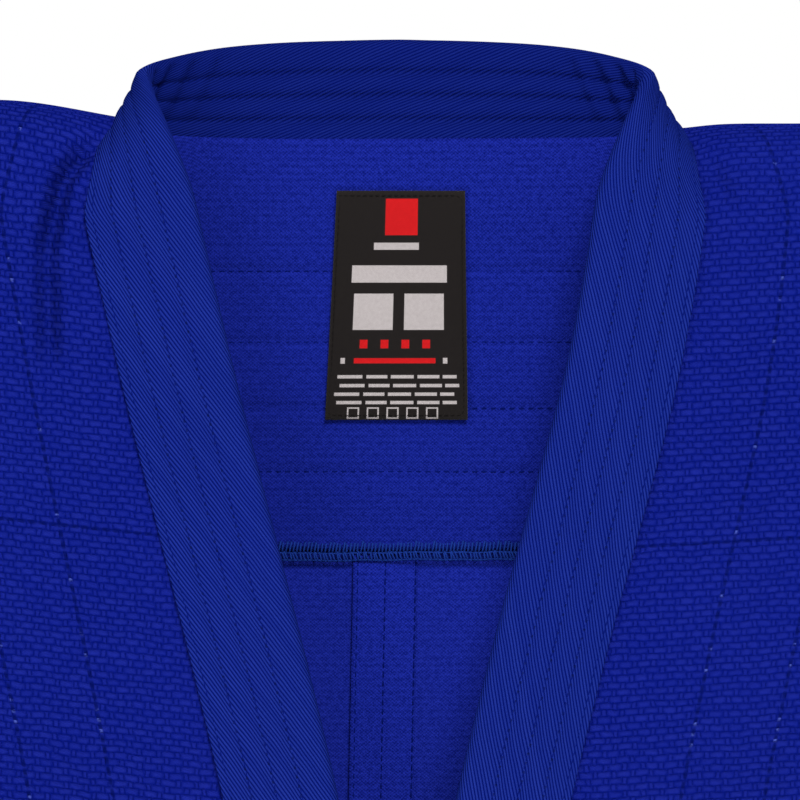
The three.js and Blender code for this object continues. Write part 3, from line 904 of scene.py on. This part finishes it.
# ---- stitches ----
def stitch_tree():
    """Thread stitches in rows along the edges of a mesh."""
    tree = bpy.data.node_groups.new("stitch rows", "GeometryNodeTree")
    face = tree.interface
    face.new_socket(name="Geometry", in_out="INPUT", socket_type="NodeSocketGeometry")
    for name in ("Pitch", "Length", "Radius"):
        face.new_socket(name=name, in_out="INPUT", socket_type="NodeSocketFloat")
    face.new_socket(name="Material", in_out="INPUT", socket_type="NodeSocketMaterial")
    face.new_socket(name="Geometry", in_out="OUTPUT", socket_type="NodeSocketGeometry")

    def node(kind, **settings):
        made = tree.nodes.new(kind)
        for key, value in settings.items():
            setattr(made, key, value)
        return made

    def link(a, b):
        tree.links.new(a, b)

    start, end = node("NodeGroupInput"), node("NodeGroupOutput")
    curve = node("GeometryNodeMeshToCurve")
    even = node("GeometryNodeResampleCurve")
    even.mode = "LENGTH"
    ball = node("GeometryNodeMeshUVSphere")
    ball.inputs["Segments"].default_value = 6
    ball.inputs["Rings"].default_value = 4
    ball.inputs["Radius"].default_value = 1.0
    halved = node("ShaderNodeMath", operation="MULTIPLY")
    halved.inputs[1].default_value = 0.5
    size = node("ShaderNodeCombineXYZ")
    tangent = node("GeometryNodeInputTangent")
    turn = node("FunctionNodeAlignRotationToVector", axis="Z")
    place = node("GeometryNodeInstanceOnPoints")
    real = node("GeometryNodeRealizeInstances")
    round_off = node("GeometryNodeSetShadeSmooth")
    paint = node("GeometryNodeSetMaterial")
    link(start.outputs["Geometry"], curve.inputs[0])
    link(curve.outputs[0], even.inputs[0])
    link(start.outputs["Pitch"], even.inputs["Length"])
    link(start.outputs["Length"], halved.inputs[0])
    link(start.outputs["Radius"], size.inputs[0])
    link(start.outputs["Radius"], size.inputs[1])
    link(halved.outputs[0], size.inputs[2])
    link(tangent.outputs[0], turn.inputs["Vector"])
    link(even.outputs[0], place.inputs["Points"])
    link(ball.outputs["Mesh"], place.inputs["Instance"])
    link(turn.outputs[0], place.inputs["Rotation"])
    link(size.outputs[0], place.inputs["Scale"])
    link(place.outputs[0], real.inputs[0])
    link(real.outputs[0], round_off.inputs[0])
    link(round_off.outputs[0], paint.inputs[0])
    link(start.outputs["Material"], paint.inputs["Material"])
    link(paint.outputs[0], end.inputs[0])
    return tree


STITCHES = stitch_tree()


def stitch_rows(name, runs, material, slot, pitch=0.0040, length=0.0031, radius=0.00040):
    """Stitches along each run of points, as one plain mesh."""
    verts, edges = [], []
    for run in runs:
        run = spaced(np.asarray(run, float), 0.004)
        start = len(verts)
        verts.extend(map(tuple, run))
        edges.extend((start + i, start + i + 1) for i in range(len(run) - 1))
    mesh = bpy.data.meshes.new(name)
    mesh.from_pydata(verts, edges, [])
    guide = bpy.data.objects.new(name, mesh)
    bpy.context.collection.objects.link(guide)
    modifier = guide.modifiers.new("stitches", "NODES")
    modifier.node_group = STITCHES
    wanted = {"Pitch": pitch, "Length": length, "Radius": radius, "Material": material}
    for item in STITCHES.interface.items_tree:
        if item.in_out == "INPUT" and item.name in wanted:
            modifier[item.identifier] = wanted[item.name]
    bpy.context.view_layer.update()
    depsgraph = bpy.context.evaluated_depsgraph_get()
    made = bpy.data.meshes.new_from_object(guide.evaluated_get(depsgraph), depsgraph=depsgraph)
    guide.modifiers.clear()
    guide.data = made
    made.name = name
    return finish_with(guide, material, slot)


def band_stitches():
    """Quilting rows on both faces of the band, split where its pieces are."""
    right, left = lapel_break("right"), lapel_break("left")
    spans = {"right": (0, right), "neck": (right, left), "left": (left, len(BAND_AT) - 1)}
    for where, (first, last) in spans.items():
        runs = []
        for face in (1, -1):
            for row in (0.07,) + QUILT_ROWS:
                line = [band_point(i, row, face) + BAND_OUT[i] * face * -0.00012
                        for i in range(first, last + 1)]
                runs.append(line)
        piece = stitch_rows(f"{where}_band_stitches", runs, THREAD, "seam_thread",
                            pitch=0.0036, length=0.0029, radius=0.00032)
        if where == "neck":
            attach(piece, "torso")
        else:
            bend_lapel(piece)


# ---- body cloth ----
def lapel_seam_x(side, s):
    """Distance of the lapel's seam from the middle at distances s over the shoulder."""
    pick = (BAND_SEAM[:, 0] * TURN[side] > 0) & (BAND_SEAM[:, 1] < 0.001)
    x, y, z = BAND_SEAM[pick].T
    over = np.where(z > ARCH, SHOULDER_RADIUS * np.arctan2(-y, np.maximum(z - ARCH, 1e-6)),
                    reach(z))
    order = np.argsort(over)
    return np.interp(s, over[order], np.abs(x)[order])


def row_steps(top, bottom, step=0.005):
    """Distances over the shoulder for the rows of a piece, closer together at the armhole."""
    rows = list(np.arange(top, bottom - 0.5 * step, step)) + [bottom]
    armhole = reach(ARMHOLE)
    close = np.arange(armhole - 0.004, armhole + 0.034, 0.002)
    rows = [r for r in rows if not armhole - 0.005 < r < armhole + 0.035] + [
        r for r in close if top < r < bottom]
    return np.array(sorted(rows))


def skirt_thickness(rows, hem):
    """The skirt's cloth, which is turned under and thicker along its hem."""
    return CLOTH * (1 + 0.35 * smooth(hem - 0.022, hem - 0.018, rows))[:, None]


def front_grid(turn, rows, inner_x, flat_count, corner_count):
    """Grid of one front, from inner_x out and round to the side seam."""
    points, uv = [], []
    for s, x0 in zip(rows, inner_x):
        flat_x = np.linspace(x0, FLAT, flat_count)[:-1]
        z = float(drape(s)[1])
        flat = on_cloth("front", flat_x * turn, s)
        if s < OVER:
            edge_x = np.linspace(FLAT, HALF_WIDTH, corner_count)
            edge, at = on_cloth("front", edge_x * turn, s), edge_x
        else:
            edge, at = corner_row("front", z, corner_count)
            edge = edge * (turn, 1, 1)
        points.append(np.vstack([flat, edge]))
        uv.append(np.stack([np.r_[flat_x, at] * turn, np.full(len(flat_x) + len(at), s)], 1))
    return np.array(points), np.array(uv)


def make_fronts():
    for side, turn in TURN.items():
        waist = float(reach(WAIST))
        hem = float(reach(HEM))
        rows = row_steps(0.0, waist, 0.0028)
        inner = lapel_seam_x(side, rows) - UNDER_BAND
        points, uv = front_grid(turn, rows, inner, 92, 26)
        gap = np.abs(uv[..., 0]) - inner[:, None] - UNDER_BAND
        uv[..., 1] -= HANG_TILT[side] * uv[..., 0]
        body = shell(f"{side}_front_cloth", points, uv, CLOTH, (0, -1, 0.3))
        attribute = body.data.attributes.new("from_lapel", "FLOAT", "POINT")
        attribute.data.foreach_set("value", np.tile(gap.ravel(), 2).astype(np.float32))
        finish_with(body, RICE, "rice_weave", f"{side}_shoulder_front", f"{side}_front_panel")
        bend_front(body, side)
        declare_sheet(body, uv)

        rows = row_steps(waist, hem)
        inner = lapel_seam_x(side, rows) - UNDER_BAND
        points, uv = front_grid(turn, rows, inner, 48, 26)
        thick = skirt_thickness(rows, hem)
        skirt = shell(f"{side}_front_skirt_cloth", points, uv, thick, (0, -1, 0.1))
        finish_with(skirt, DIAMOND, "skirt_cloth", f"{side}_front_skirt")
        bend_front(skirt, side)
        declare_sheet(skirt, uv)


def back_grid(rows_top, rows_bottom, flat_count, corner_count, top_edge=False):
    """Grid of the whole back between two distances over the shoulder."""
    base = row_steps(rows_top, rows_bottom)
    points, uv = [], []
    for s in base:
        z = float(drape(s)[1])
        flat_x = np.linspace(-FLAT, FLAT, flat_count)[1:-1]
        if s < OVER:
            edge_x = np.linspace(FLAT, HALF_WIDTH, corner_count)
            edge, at = on_cloth("back", edge_x, s), edge_x
            other = on_cloth("back", -edge_x, s)
        else:
            edge, at = corner_row("back", z, corner_count)
            other = corner_row("back", z, corner_count)[0] * (-1, 1, 1)
        if top_edge:
            own_s = neck_row(flat_x, s, rows_bottom)
            pull = neck_pull(flat_x, own_s, 0.0, out=0.0024, up=0.004)
            flat = on_cloth("back", flat_x, own_s) + pull
            flat_v = own_s
        else:
            flat = on_cloth("back", flat_x, np.full(flat_x.shape, s))
            flat_v = np.full(flat_x.shape, s)
        points.append(np.vstack([other[::-1], flat, edge]))
        u = np.r_[-at[::-1], flat_x, at]
        v = np.r_[np.full(len(at), s), flat_v, np.full(len(at), s)]
        uv.append(np.stack([u, v], 1))
    return np.array(points), np.array(uv)


def neck_start(x):
    """Distance over the shoulder at which the back cloth starts under the collar."""
    return NECK_SINK * (1 - smooth(0.080, NECK_X, np.abs(x)))


def neck_row(x, s, bottom):
    start = neck_start(x)
    return start + s * (bottom - start) / bottom


def neck_pull(x, s, inset, out, up):
    """Brings the top of a back layer up into the collar's seam, fading below it."""
    down, ax = s - neck_start(x), np.abs(x)
    pick = (BAND_SEAM[:, 0] > 0) & (BAND_SEAM[:, 1] > 0)
    seam = BAND_SEAM[pick][np.argsort(BAND_SEAM[pick][:, 0])]
    target_y = np.interp(ax, seam[:, 0], seam[:, 1]) + out
    target_z = np.interp(ax, seam[:, 0], seam[:, 2]) + up - down
    now = on_cloth("back", x, s, inset)
    amount = smooth(0.052, 0.007, down) * smooth(NECK_X + 0.004, NECK_X - 0.006, ax)
    return np.stack([np.zeros_like(ax), (target_y - now[..., 1]) * amount,
                     (target_z - now[..., 2]) * amount], -1)


def make_back():
    waist, hem = float(reach(WAIST)), float(reach(HEM))
    points, uv = back_grid(0.0, waist, 92, 24, top_edge=True)
    pressed = smooth(0.105, 0.125, np.abs(uv[..., 0])).clip(smooth(0.0, 0.06, uv[..., 1] - 0.02))
    back = shell("back_cloth", points, uv, CLOTH * (0.6 + 0.4 * pressed), (0, 1, 0.3))
    finish_with(back, RICE, "rice_weave", "back_panel")
    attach(back, "torso")
    declare_sheet(back, uv)

    points, uv = back_grid(waist, hem, 92, 24)
    thick = skirt_thickness(row_steps(waist, hem), hem)
    skirt = shell("back_skirt_cloth", points, uv, thick, (0, 1, 0.1))
    finish_with(skirt, DIAMOND, "skirt_cloth", "back_skirt", "back_tail")
    bend_tail(skirt)
    declare_sheet(skirt, uv)


# ---- inside of the back ----
def inner_reach(z, inset):
    """Distance over the shoulder at which an inner layer of the back is at a height."""
    s = np.linspace(0.024, 0.9, 1800)
    heights = inner_back(np.zeros(s.shape), s, inset)[:, 2]
    return float(np.interp(-z, -heights, s))


def inner_back(x, s, inset):
    """A point on an inner layer of the back, drawn in by inset."""
    sunk = 0.0012 * smooth(0.0016, 0.0, s - neck_start(x))
    out = sunk - 0.0044 - (inset - (LINING_FACE + LINING_PUFF))
    return on_cloth("back", x, s, inset) + neck_pull(x, s, inset, out, 0.0044)


def make_lining():
    edge = float(reach(OVERLOCK))
    x = np.linspace(-HALF_WIDTH + 0.005, HALF_WIDTH - 0.005, 180)
    fractions = np.linspace(0, 1, 90) ** 1.25
    row_places = [inner_reach(z, LINING_FACE) for z in LINING_ROWS]
    rows, uv = [], []
    for f in fractions:
        start = np.maximum(neck_start(x), 0.004)
        s = start + f * (edge - start)
        dip = sum(0.0009 * np.exp(-((s - row) / 0.0017) ** 2) for row in row_places)
        soft = 0.0010 * ripple(x, s, 0.045, 71)
        rows.append(inner_back(x, s, LINING_FACE + LINING_PUFF + soft * 0.5 - dip))
        uv.append(np.stack([x, s], 1))
    thick = LINING * (0.25 + 0.75 * smooth(0.0, 0.12, fractions))[:, None]
    piece = shell("yoke_lining_cloth", np.array(rows), np.array(uv), thick, (0, -1, 0))
    finish_with(piece, PLAIN, "lining_cloth", "yoke_lining")
    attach(piece, "torso")
    declare_sheet(piece, np.array(uv))
    runs = []
    for s in row_places:
        line_x = np.linspace(-HALF_WIDTH + 0.01, HALF_WIDTH - 0.01, 140)
        runs.append(inner_back(line_x, np.full(line_x.shape, s), LINING_FACE + 0.0002))
    stitches = stitch_rows("lining_stitches", runs, THREAD, "seam_thread", pitch=0.0039,
                           length=0.0024, radius=0.00030)
    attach(stitches, "torso")


def make_centre_strip():
    top, bottom = float(reach(OVERLOCK)) + 0.002, float(reach(WAIST)) - 0.004
    s = np.linspace(top, bottom, 70)
    x = np.linspace(STRIP[0].x, STRIP[1].x, 15)
    slip = -0.0052 * (s - top) / (bottom - top)
    flush = 0.0015 * smooth(0.45, 1.0, np.linspace(0, 1, len(x)))
    rolled = 0.0006 * np.exp(-((x - STRIP[0].x) / 0.0025) ** 2)
    grid = np.array([on_cloth("back", x + d, np.full(x.shape, r), LINING_FACE - flush + rolled)
                     for r, d in zip(s, slip)])
    uv = np.array([np.stack([x + d, np.full(x.shape, r)], 1) for r, d in zip(s, slip)])
    piece = shell("centre_strip_cloth", grid, uv, LINING - flush, (0, -1, 0))
    # The strip's lighter copy of the lining cloth is painted light.
    finish_with(piece, STRIP_CLOTH_PAINTED_LIGHT, "lining_cloth", "centre_back_strip")
    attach(piece, "torso")
    declare_sheet(piece, uv)
    width = STRIP[1].x - STRIP[0].x
    runs = [on_cloth("back", STRIP[0].x + share * width + slip, s, LINING_FACE + lift)
            for share, lift in ((0.07, 0.0002), (0.50, 0.0001), (0.97, -0.0012))]
    stitches = stitch_rows("strip_stitches", runs, THREAD, "seam_thread", pitch=0.0039,
                           length=0.0029, radius=0.00036)
    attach(stitches, "torso")


def overlock_sway(x):
    return -0.004 * x + 0.0003 * np.sin(x / 0.021) + 0.0003 * ripple(x, 0.0, 0.007, 17)


def slanted_loops(name, z_low, z_high, pitch, radius, lean):
    """A row of slanted thread loops between two heights, inside the back."""
    inset = LINING_FACE + 0.0010
    bars, faces, verts = int((2 * HALF_WIDTH - 0.02) / pitch), [], []
    sides, steps = 6, 4
    uneven = np.random.RandomState(bars).uniform(-1, 1, bars)
    for k in range(bars):
        x0 = -HALF_WIDTH + 0.01 + k * pitch
        line = []
        for t in np.linspace(0, 1, steps):
            z = z_low + (z_high - z_low) * (1 + 0.12 * uneven[k]) * t + float(overlock_sway(x0))
            bulge = 0.0006 * math.sin(math.pi * t)
            along = x0 + lean * t * (1 + 0.6 * uneven[k])
            line.append(inner_back(np.array([along]), np.array([float(reach(z))]),
                                   inset + bulge)[0])
        base = len(verts)
        for p in line:
            for a in range(sides):
                angle = 2 * math.pi * a / sides
                verts.append(p + radius * np.array([math.cos(angle), math.sin(angle), 0]))
        for r in range(steps - 1):
            for a in range(sides):
                b = (a + 1) % sides
                faces.append((base + r * sides + a, base + r * sides + b,
                              base + (r + 1) * sides + b, base + (r + 1) * sides + a))
        faces.append(tuple(base + a for a in range(sides))[::-1])
        faces.append(tuple(base + (steps - 1) * sides + a for a in range(sides)))
    return add_object(name, verts, faces)


def make_overlock():
    top, middle, foot = OVERLOCK + 0.0030, OVERLOCK - 0.0010, OVERLOCK - 0.0052
    pieces = [
        slanted_loops("upper_loops", middle - 0.0004, top, 0.0015, 0.00044, 0.0007),
        slanted_loops("lower_loops", foot + 0.0004, middle, 0.0014, 0.00042, -0.0012)]
    seam = joined("overlock_threads", pieces)
    finish_with(seam, OVERLOCK_THREAD, "seam_thread", "overlock_seam")
    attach(seam, "torso")
    inset = LINING_FACE + 0.0012
    runs = []
    for z in (middle - 0.0004, foot + 0.0008):
        x = np.linspace(-HALF_WIDTH + 0.01, HALF_WIDTH - 0.01, 200)
        runs.append(inner_back(x, reach(z + overlock_sway(x)), inset))
    chain = stitch_rows("overlock_chain", runs, OVERLOCK_THREAD, "seam_thread", pitch=0.0021,
                        length=0.0024, radius=0.00044)
    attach(chain, "torso")


def make_label():
    inset = LINING_BACK + 2 * LINING + 0.0007
    middle = (LABEL[0].x + LABEL[1].x) / 2 + 0.0024
    half = (LABEL[1].x - LABEL[0].x) / 2
    top, bottom = inner_reach(LABEL_TOP, inset), inner_reach(LABEL[0].z, inset)

    def place(a, b, lift):
        """Point on the label: a from -1 to 1 across, b from 0 to 1 down."""
        half_here = half * (0.955 + 0.110 * b)
        x = middle + a * half_here - 0.0019 * b
        s = top + (bottom - top) * b
        return inner_back(np.atleast_1d(x), np.atleast_1d(s), inset + lift)[0]

    a_values, b_values = np.linspace(-1, 1, 29), np.linspace(0, 1, 45)
    grid = np.array([[place(a, b, 0.0005 + 0.0006 * (abs(a) ** 6)) for a in a_values]
                     for b in b_values])
    uv = np.array([[(a * half, b * (bottom - top)) for a in a_values] for b in b_values])
    piece = shell("neck_label_cloth", grid, uv, 0.0007, (0, -1, 0))
    finish_with(piece, LABEL_CLOTH, "label_weave", "neck_label")
    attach(piece, "torso")
    declare_sheet(piece, uv, held="laid")

    edge = [place(a, b, 0.00085) for a, b in
            [(-0.95, 0.02), (0.95, 0.02), (0.95, 0.98), (-0.95, 0.98), (-0.95, 0.02)]]
    stitches = stitch_rows("label_stitches", [edge], BLACK_THREAD, "label_weave", pitch=0.0026,
                           length=0.0019, radius=0.00018)
    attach(stitches, "torso")


# ---- sleeves ----
def sleeve_fold(x, v, span):
    """How far the sleeve's cloth stands out: drag folds, and crumples at the elbow."""
    x, v = np.asarray(x, float), np.asarray(v, float)
    rest = smooth(0.0, 0.07, np.abs(v))
    seam = smooth(HALF_WIDTH, HALF_WIDTH + 0.05, x) * smooth(SLEEVE_END + 0.01, SLEEVE_END - 0.04, x)
    drag = 0.0035 * np.sin(2 * math.pi * (x / 0.19 + np.abs(v) / 0.34 + 0.1 * np.sign(v)))
    soft = 0.0024 * ripple(x, v, 0.060, 91) + 0.0008 * ripple(x, v, 0.022, 92)
    bent = np.exp(-((x - ELBOW) / 0.055) ** 2)
    crumple = 0.0030 * bent * np.sin(2 * math.pi * (x + 0.25 * v) / 0.034)
    return (drag + soft + crumple * smooth(0.02, 0.08, np.abs(v))) * rest * seam


def sleeve_grid(first, last, count, inset):
    points, uv, around = [], [], 96
    for x in np.linspace(first, last, count):
        y, z, at = sleeve_ring(x, around, inset)
        ring = np.stack([y, z], 1)
        along = unit(np.gradient(ring, axis=0))
        out = np.stack([-along[:, 1], along[:, 0]], 1)
        if (out * (ring - ring.mean(0))).sum() < 0:
            out = -out
        ring = ring + out * sleeve_fold(x, at, at[-1])[:, None]
        points.append(np.stack([np.full(around, x), ring[:, 0], ring[:, 1]], 1))
        uv.append(np.stack([np.full(around, x), at], 1))
    return np.array(points), np.array(uv)


def turned_sleeve(turn, first, last, count, inset=0.0):
    """A sleeve's grid on its own side of the body, its pattern, and its rough outside."""
    points, uv = sleeve_grid(first, last, count, inset)
    points = points * (turn, 1, 1)
    return points, uv * (turn, 1), points - points.mean(axis=1, keepdims=True)


def make_sleeves():
    for side, turn in TURN.items():
        for part, bend, first, last, count in (
                ("upper", bend_sleeve, HALF_WIDTH, ELBOW, 56),
                ("lower", bend_elbow, ELBOW, SLEEVE_END, 54)):
            points, uv, outward = turned_sleeve(turn, first, last, count)
            piece = shell(f"{side}_{part}_sleeve_cloth", points, uv, CLOTH, outward)
            finish_with(piece, RICE, "rice_weave", f"{side}_{part}_sleeve")
            bend(piece, side)
            declare_sheet(piece, uv)
        points, uv, outward = turned_sleeve(turn, CUFF_HEM_START, SLEEVE_END, 10, -GAP - PATCH)
        hem = shell(f"{side}_cuff_hem_cloth", points, uv, PATCH + 0.0006, outward)
        finish_with(hem, RICE, "rice_weave", f"{side}_cuff_hem")
        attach(hem, f"{side}_forearm")
        declare_sheet(hem, uv)
        runs = []
        for x in np.linspace(CUFF_HEM_START + 0.003, SLEEVE_END - 0.003, 4):
            runs.append(turned_sleeve(turn, x, x + 0.001, 2, -GAP - PATCH)[0][0])
        stitches = stitch_rows(f"{side}_cuff_stitches", runs, THREAD, "seam_thread", pitch=0.0045,
                               length=0.0034, radius=0.00042)
        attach(stitches, f"{side}_forearm")


# ---- patches at the underarm and the side vents ----
def corner_patch(name, turn, z_values, start_x, faces):
    """Patch laid over the side of the body, from start_x at each height round to the seam."""
    made, patterns, across = [], [], 14
    for face in faces:
        rows, uv = [], []
        for z, start in zip(z_values, start_x):
            points, at = corner_row(face, float(z), across, start)
            rows.append(points)
            uv.append(np.stack([at * turn, np.full(across, float(reach(z)))], 1))
        grid = np.array(rows) * (turn, 1, 1)
        sign = -1 if face == "front" else 1
        outward = np.array([turn * 0.6, sign * 0.8, 0.0])
        normal = unit(np.cross(np.gradient(grid, axis=1), np.gradient(grid, axis=0)))
        flip = -1 if (normal * outward).sum() < 0 else 1
        grid = grid + normal * flip * (PATCH + 0.0002)
        made.append(shell(f"{name}_{face}", grid, np.array(uv), PATCH, outward))
        patterns.append(np.array(uv))
    return made, patterns


def make_patches():
    for side, turn in TURN.items():
        z = np.linspace(ARMHOLE + 0.030, ARMHOLE - 0.062, 26)
        mid = ARMHOLE - 0.020
        start = HALF_WIDTH - 0.004 - 0.042 * np.clip(1 - np.abs(z - mid) / 0.050, 0, 1)
        made, patterns = corner_patch("gusset", turn, z, start, ("front", "back"))
        piece = joined(f"{side}_gusset_cloth", made)
        finish_with(piece, RICE, "rice_weave", f"{side}_underarm_gusset")
        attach(piece, "torso")
        declare_sheet(piece, *patterns, held="stretched")
        z = np.linspace(VENT + 0.060, VENT + 0.002, 22)
        start = HALF_WIDTH - 0.016 - 0.030 * smooth(VENT + 0.060, VENT + 0.030, z)
        made, patterns = corner_patch("vent", turn, z, start, ("back",))
        piece = joined(f"{side}_vent_patch_cloth", made)
        finish_with(piece, RICE, "rice_weave", f"{side}_vent_patch")
        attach(piece, "torso")
        declare_sheet(piece, *patterns, held="stretched")


# ---- front facings and the seams of the body ----
def make_facings():
    across = 12
    for side, turn in TURN.items():
        s = np.linspace(float(reach(-0.050)), float(reach(HEM + 0.004)), 130)
        seam = lapel_seam_x(side, s)
        x_rows = [np.linspace(x + 0.001, x + FACING_WIDTH, across) for x in seam]
        grid = np.array([on_cloth("front", x * turn, np.full(across, r), LINING_FACE)
                         for x, r in zip(x_rows, s)])
        uv = np.array([np.stack([x * turn, np.full(across, r)], 1) for x, r in zip(x_rows, s)])
        piece = shell(f"{side}_facing_cloth", grid, uv, LINING, (0, 1, 0))
        finish_with(piece, PLAIN, "lining_cloth", f"{side}_front_facing")
        bend_front(piece, side)
        declare_sheet(piece, uv)


def level_runs(side, heights, x):
    """Level rows across the front or back cloth, just under its surface."""
    return [on_cloth(side, x, np.full(len(x), float(reach(z))), 0.0001) for z in heights]


def seam_stitches():
    for side, turn in TURN.items():
        s = np.linspace(0.02, float(reach(HEM + 0.02)), 150)
        seam = lapel_seam_x(side, s)
        row_v = s - HANG_TILT[side] * (seam + 0.035) * turn
        runs = [on_cloth("front", (seam + ROW_START + ROW_SPREAD * row_v) * turn, s, 0.0002)]
        hem_start = LAPEL_FOOT + BAND_WIDTH / 2 + 0.004
        waist_start = float(lapel_seam_x(side, reach(WAIST))) + 0.003
        runs += level_runs("front", HEM_ROWS, np.linspace(hem_start, FLAT, 60) * turn)
        runs += level_runs("front", WAIST_ROWS, np.linspace(waist_start, FLAT, 60) * turn)
        stitches = stitch_rows(f"{side}_front_stitches", runs, THREAD, "seam_thread",
                               length=0.0019, radius=0.00024)
        bend_front(stitches, side)
    x = np.linspace(-FLAT, FLAT, 120)
    for name, heights, body in (("back_waist_stitches", WAIST_ROWS, "torso"),
                                ("back_hem_stitches", HEM_ROWS, "tail")):
        stitches = stitch_rows(name, level_runs("back", heights, x), THREAD, "seam_thread")
        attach(stitches, body)


# ---- surroundings ----
def make_studio():
    mesh = bpy.data.meshes.new("floor")
    size, level = 30.0, HEM - 0.22
    mesh.from_pydata([(-size, -size, level), (size, -size, level), (size, size, level),
                      (-size, size, level)], [], [(0, 1, 2, 3)])
    floor = bpy.data.objects.new("floor", mesh)
    bpy.context.collection.objects.link(floor)
    pale = bpy.data.materials.new("pale floor")
    pale.use_nodes = True
    shader = pale.node_tree.nodes["Principled BSDF"]
    shader.inputs["Base Color"].default_value = (0.86, 0.86, 0.86, 1)
    shader.inputs["Roughness"].default_value = 0.9
    floor.data.materials.append(pale)
    world = bpy.data.worlds.new("studio")
    bpy.context.scene.world = world
    world.use_nodes = True
    background = world.node_tree.nodes["Background"]
    background.inputs["Color"].default_value = (1, 1, 1, 1)
    background.inputs["Strength"].default_value = 1.0
    for name, place, power, width in (
            ("key", (0.5, -2.6, 1.8), 330, 1.0), ("fill", (-1.5, -2.3, -0.3), 70, 1.6),
            ("rear", (0.8, 2.8, 1.8), 330, 1.2)):
        data = bpy.data.lights.new(name, "AREA")
        data.energy, data.size = power, width
        lamp = bpy.data.objects.new(name, data)
        bpy.context.collection.objects.link(lamp)
        lamp.location = place
        aim = Vector((0, 0, -0.2)) - Vector(place)
        lamp.rotation_euler = aim.to_track_quat("-Z", "Y").to_euler()
        lamp.visible_camera = False
    bpy.context.scene.view_settings.view_transform = "Standard"


make_band()
band_stitches()
make_fronts()
make_back()
make_lining()
make_centre_strip()
make_overlock()
make_label()
make_sleeves()
make_patches()
make_facings()
seam_stitches()
make_studio()
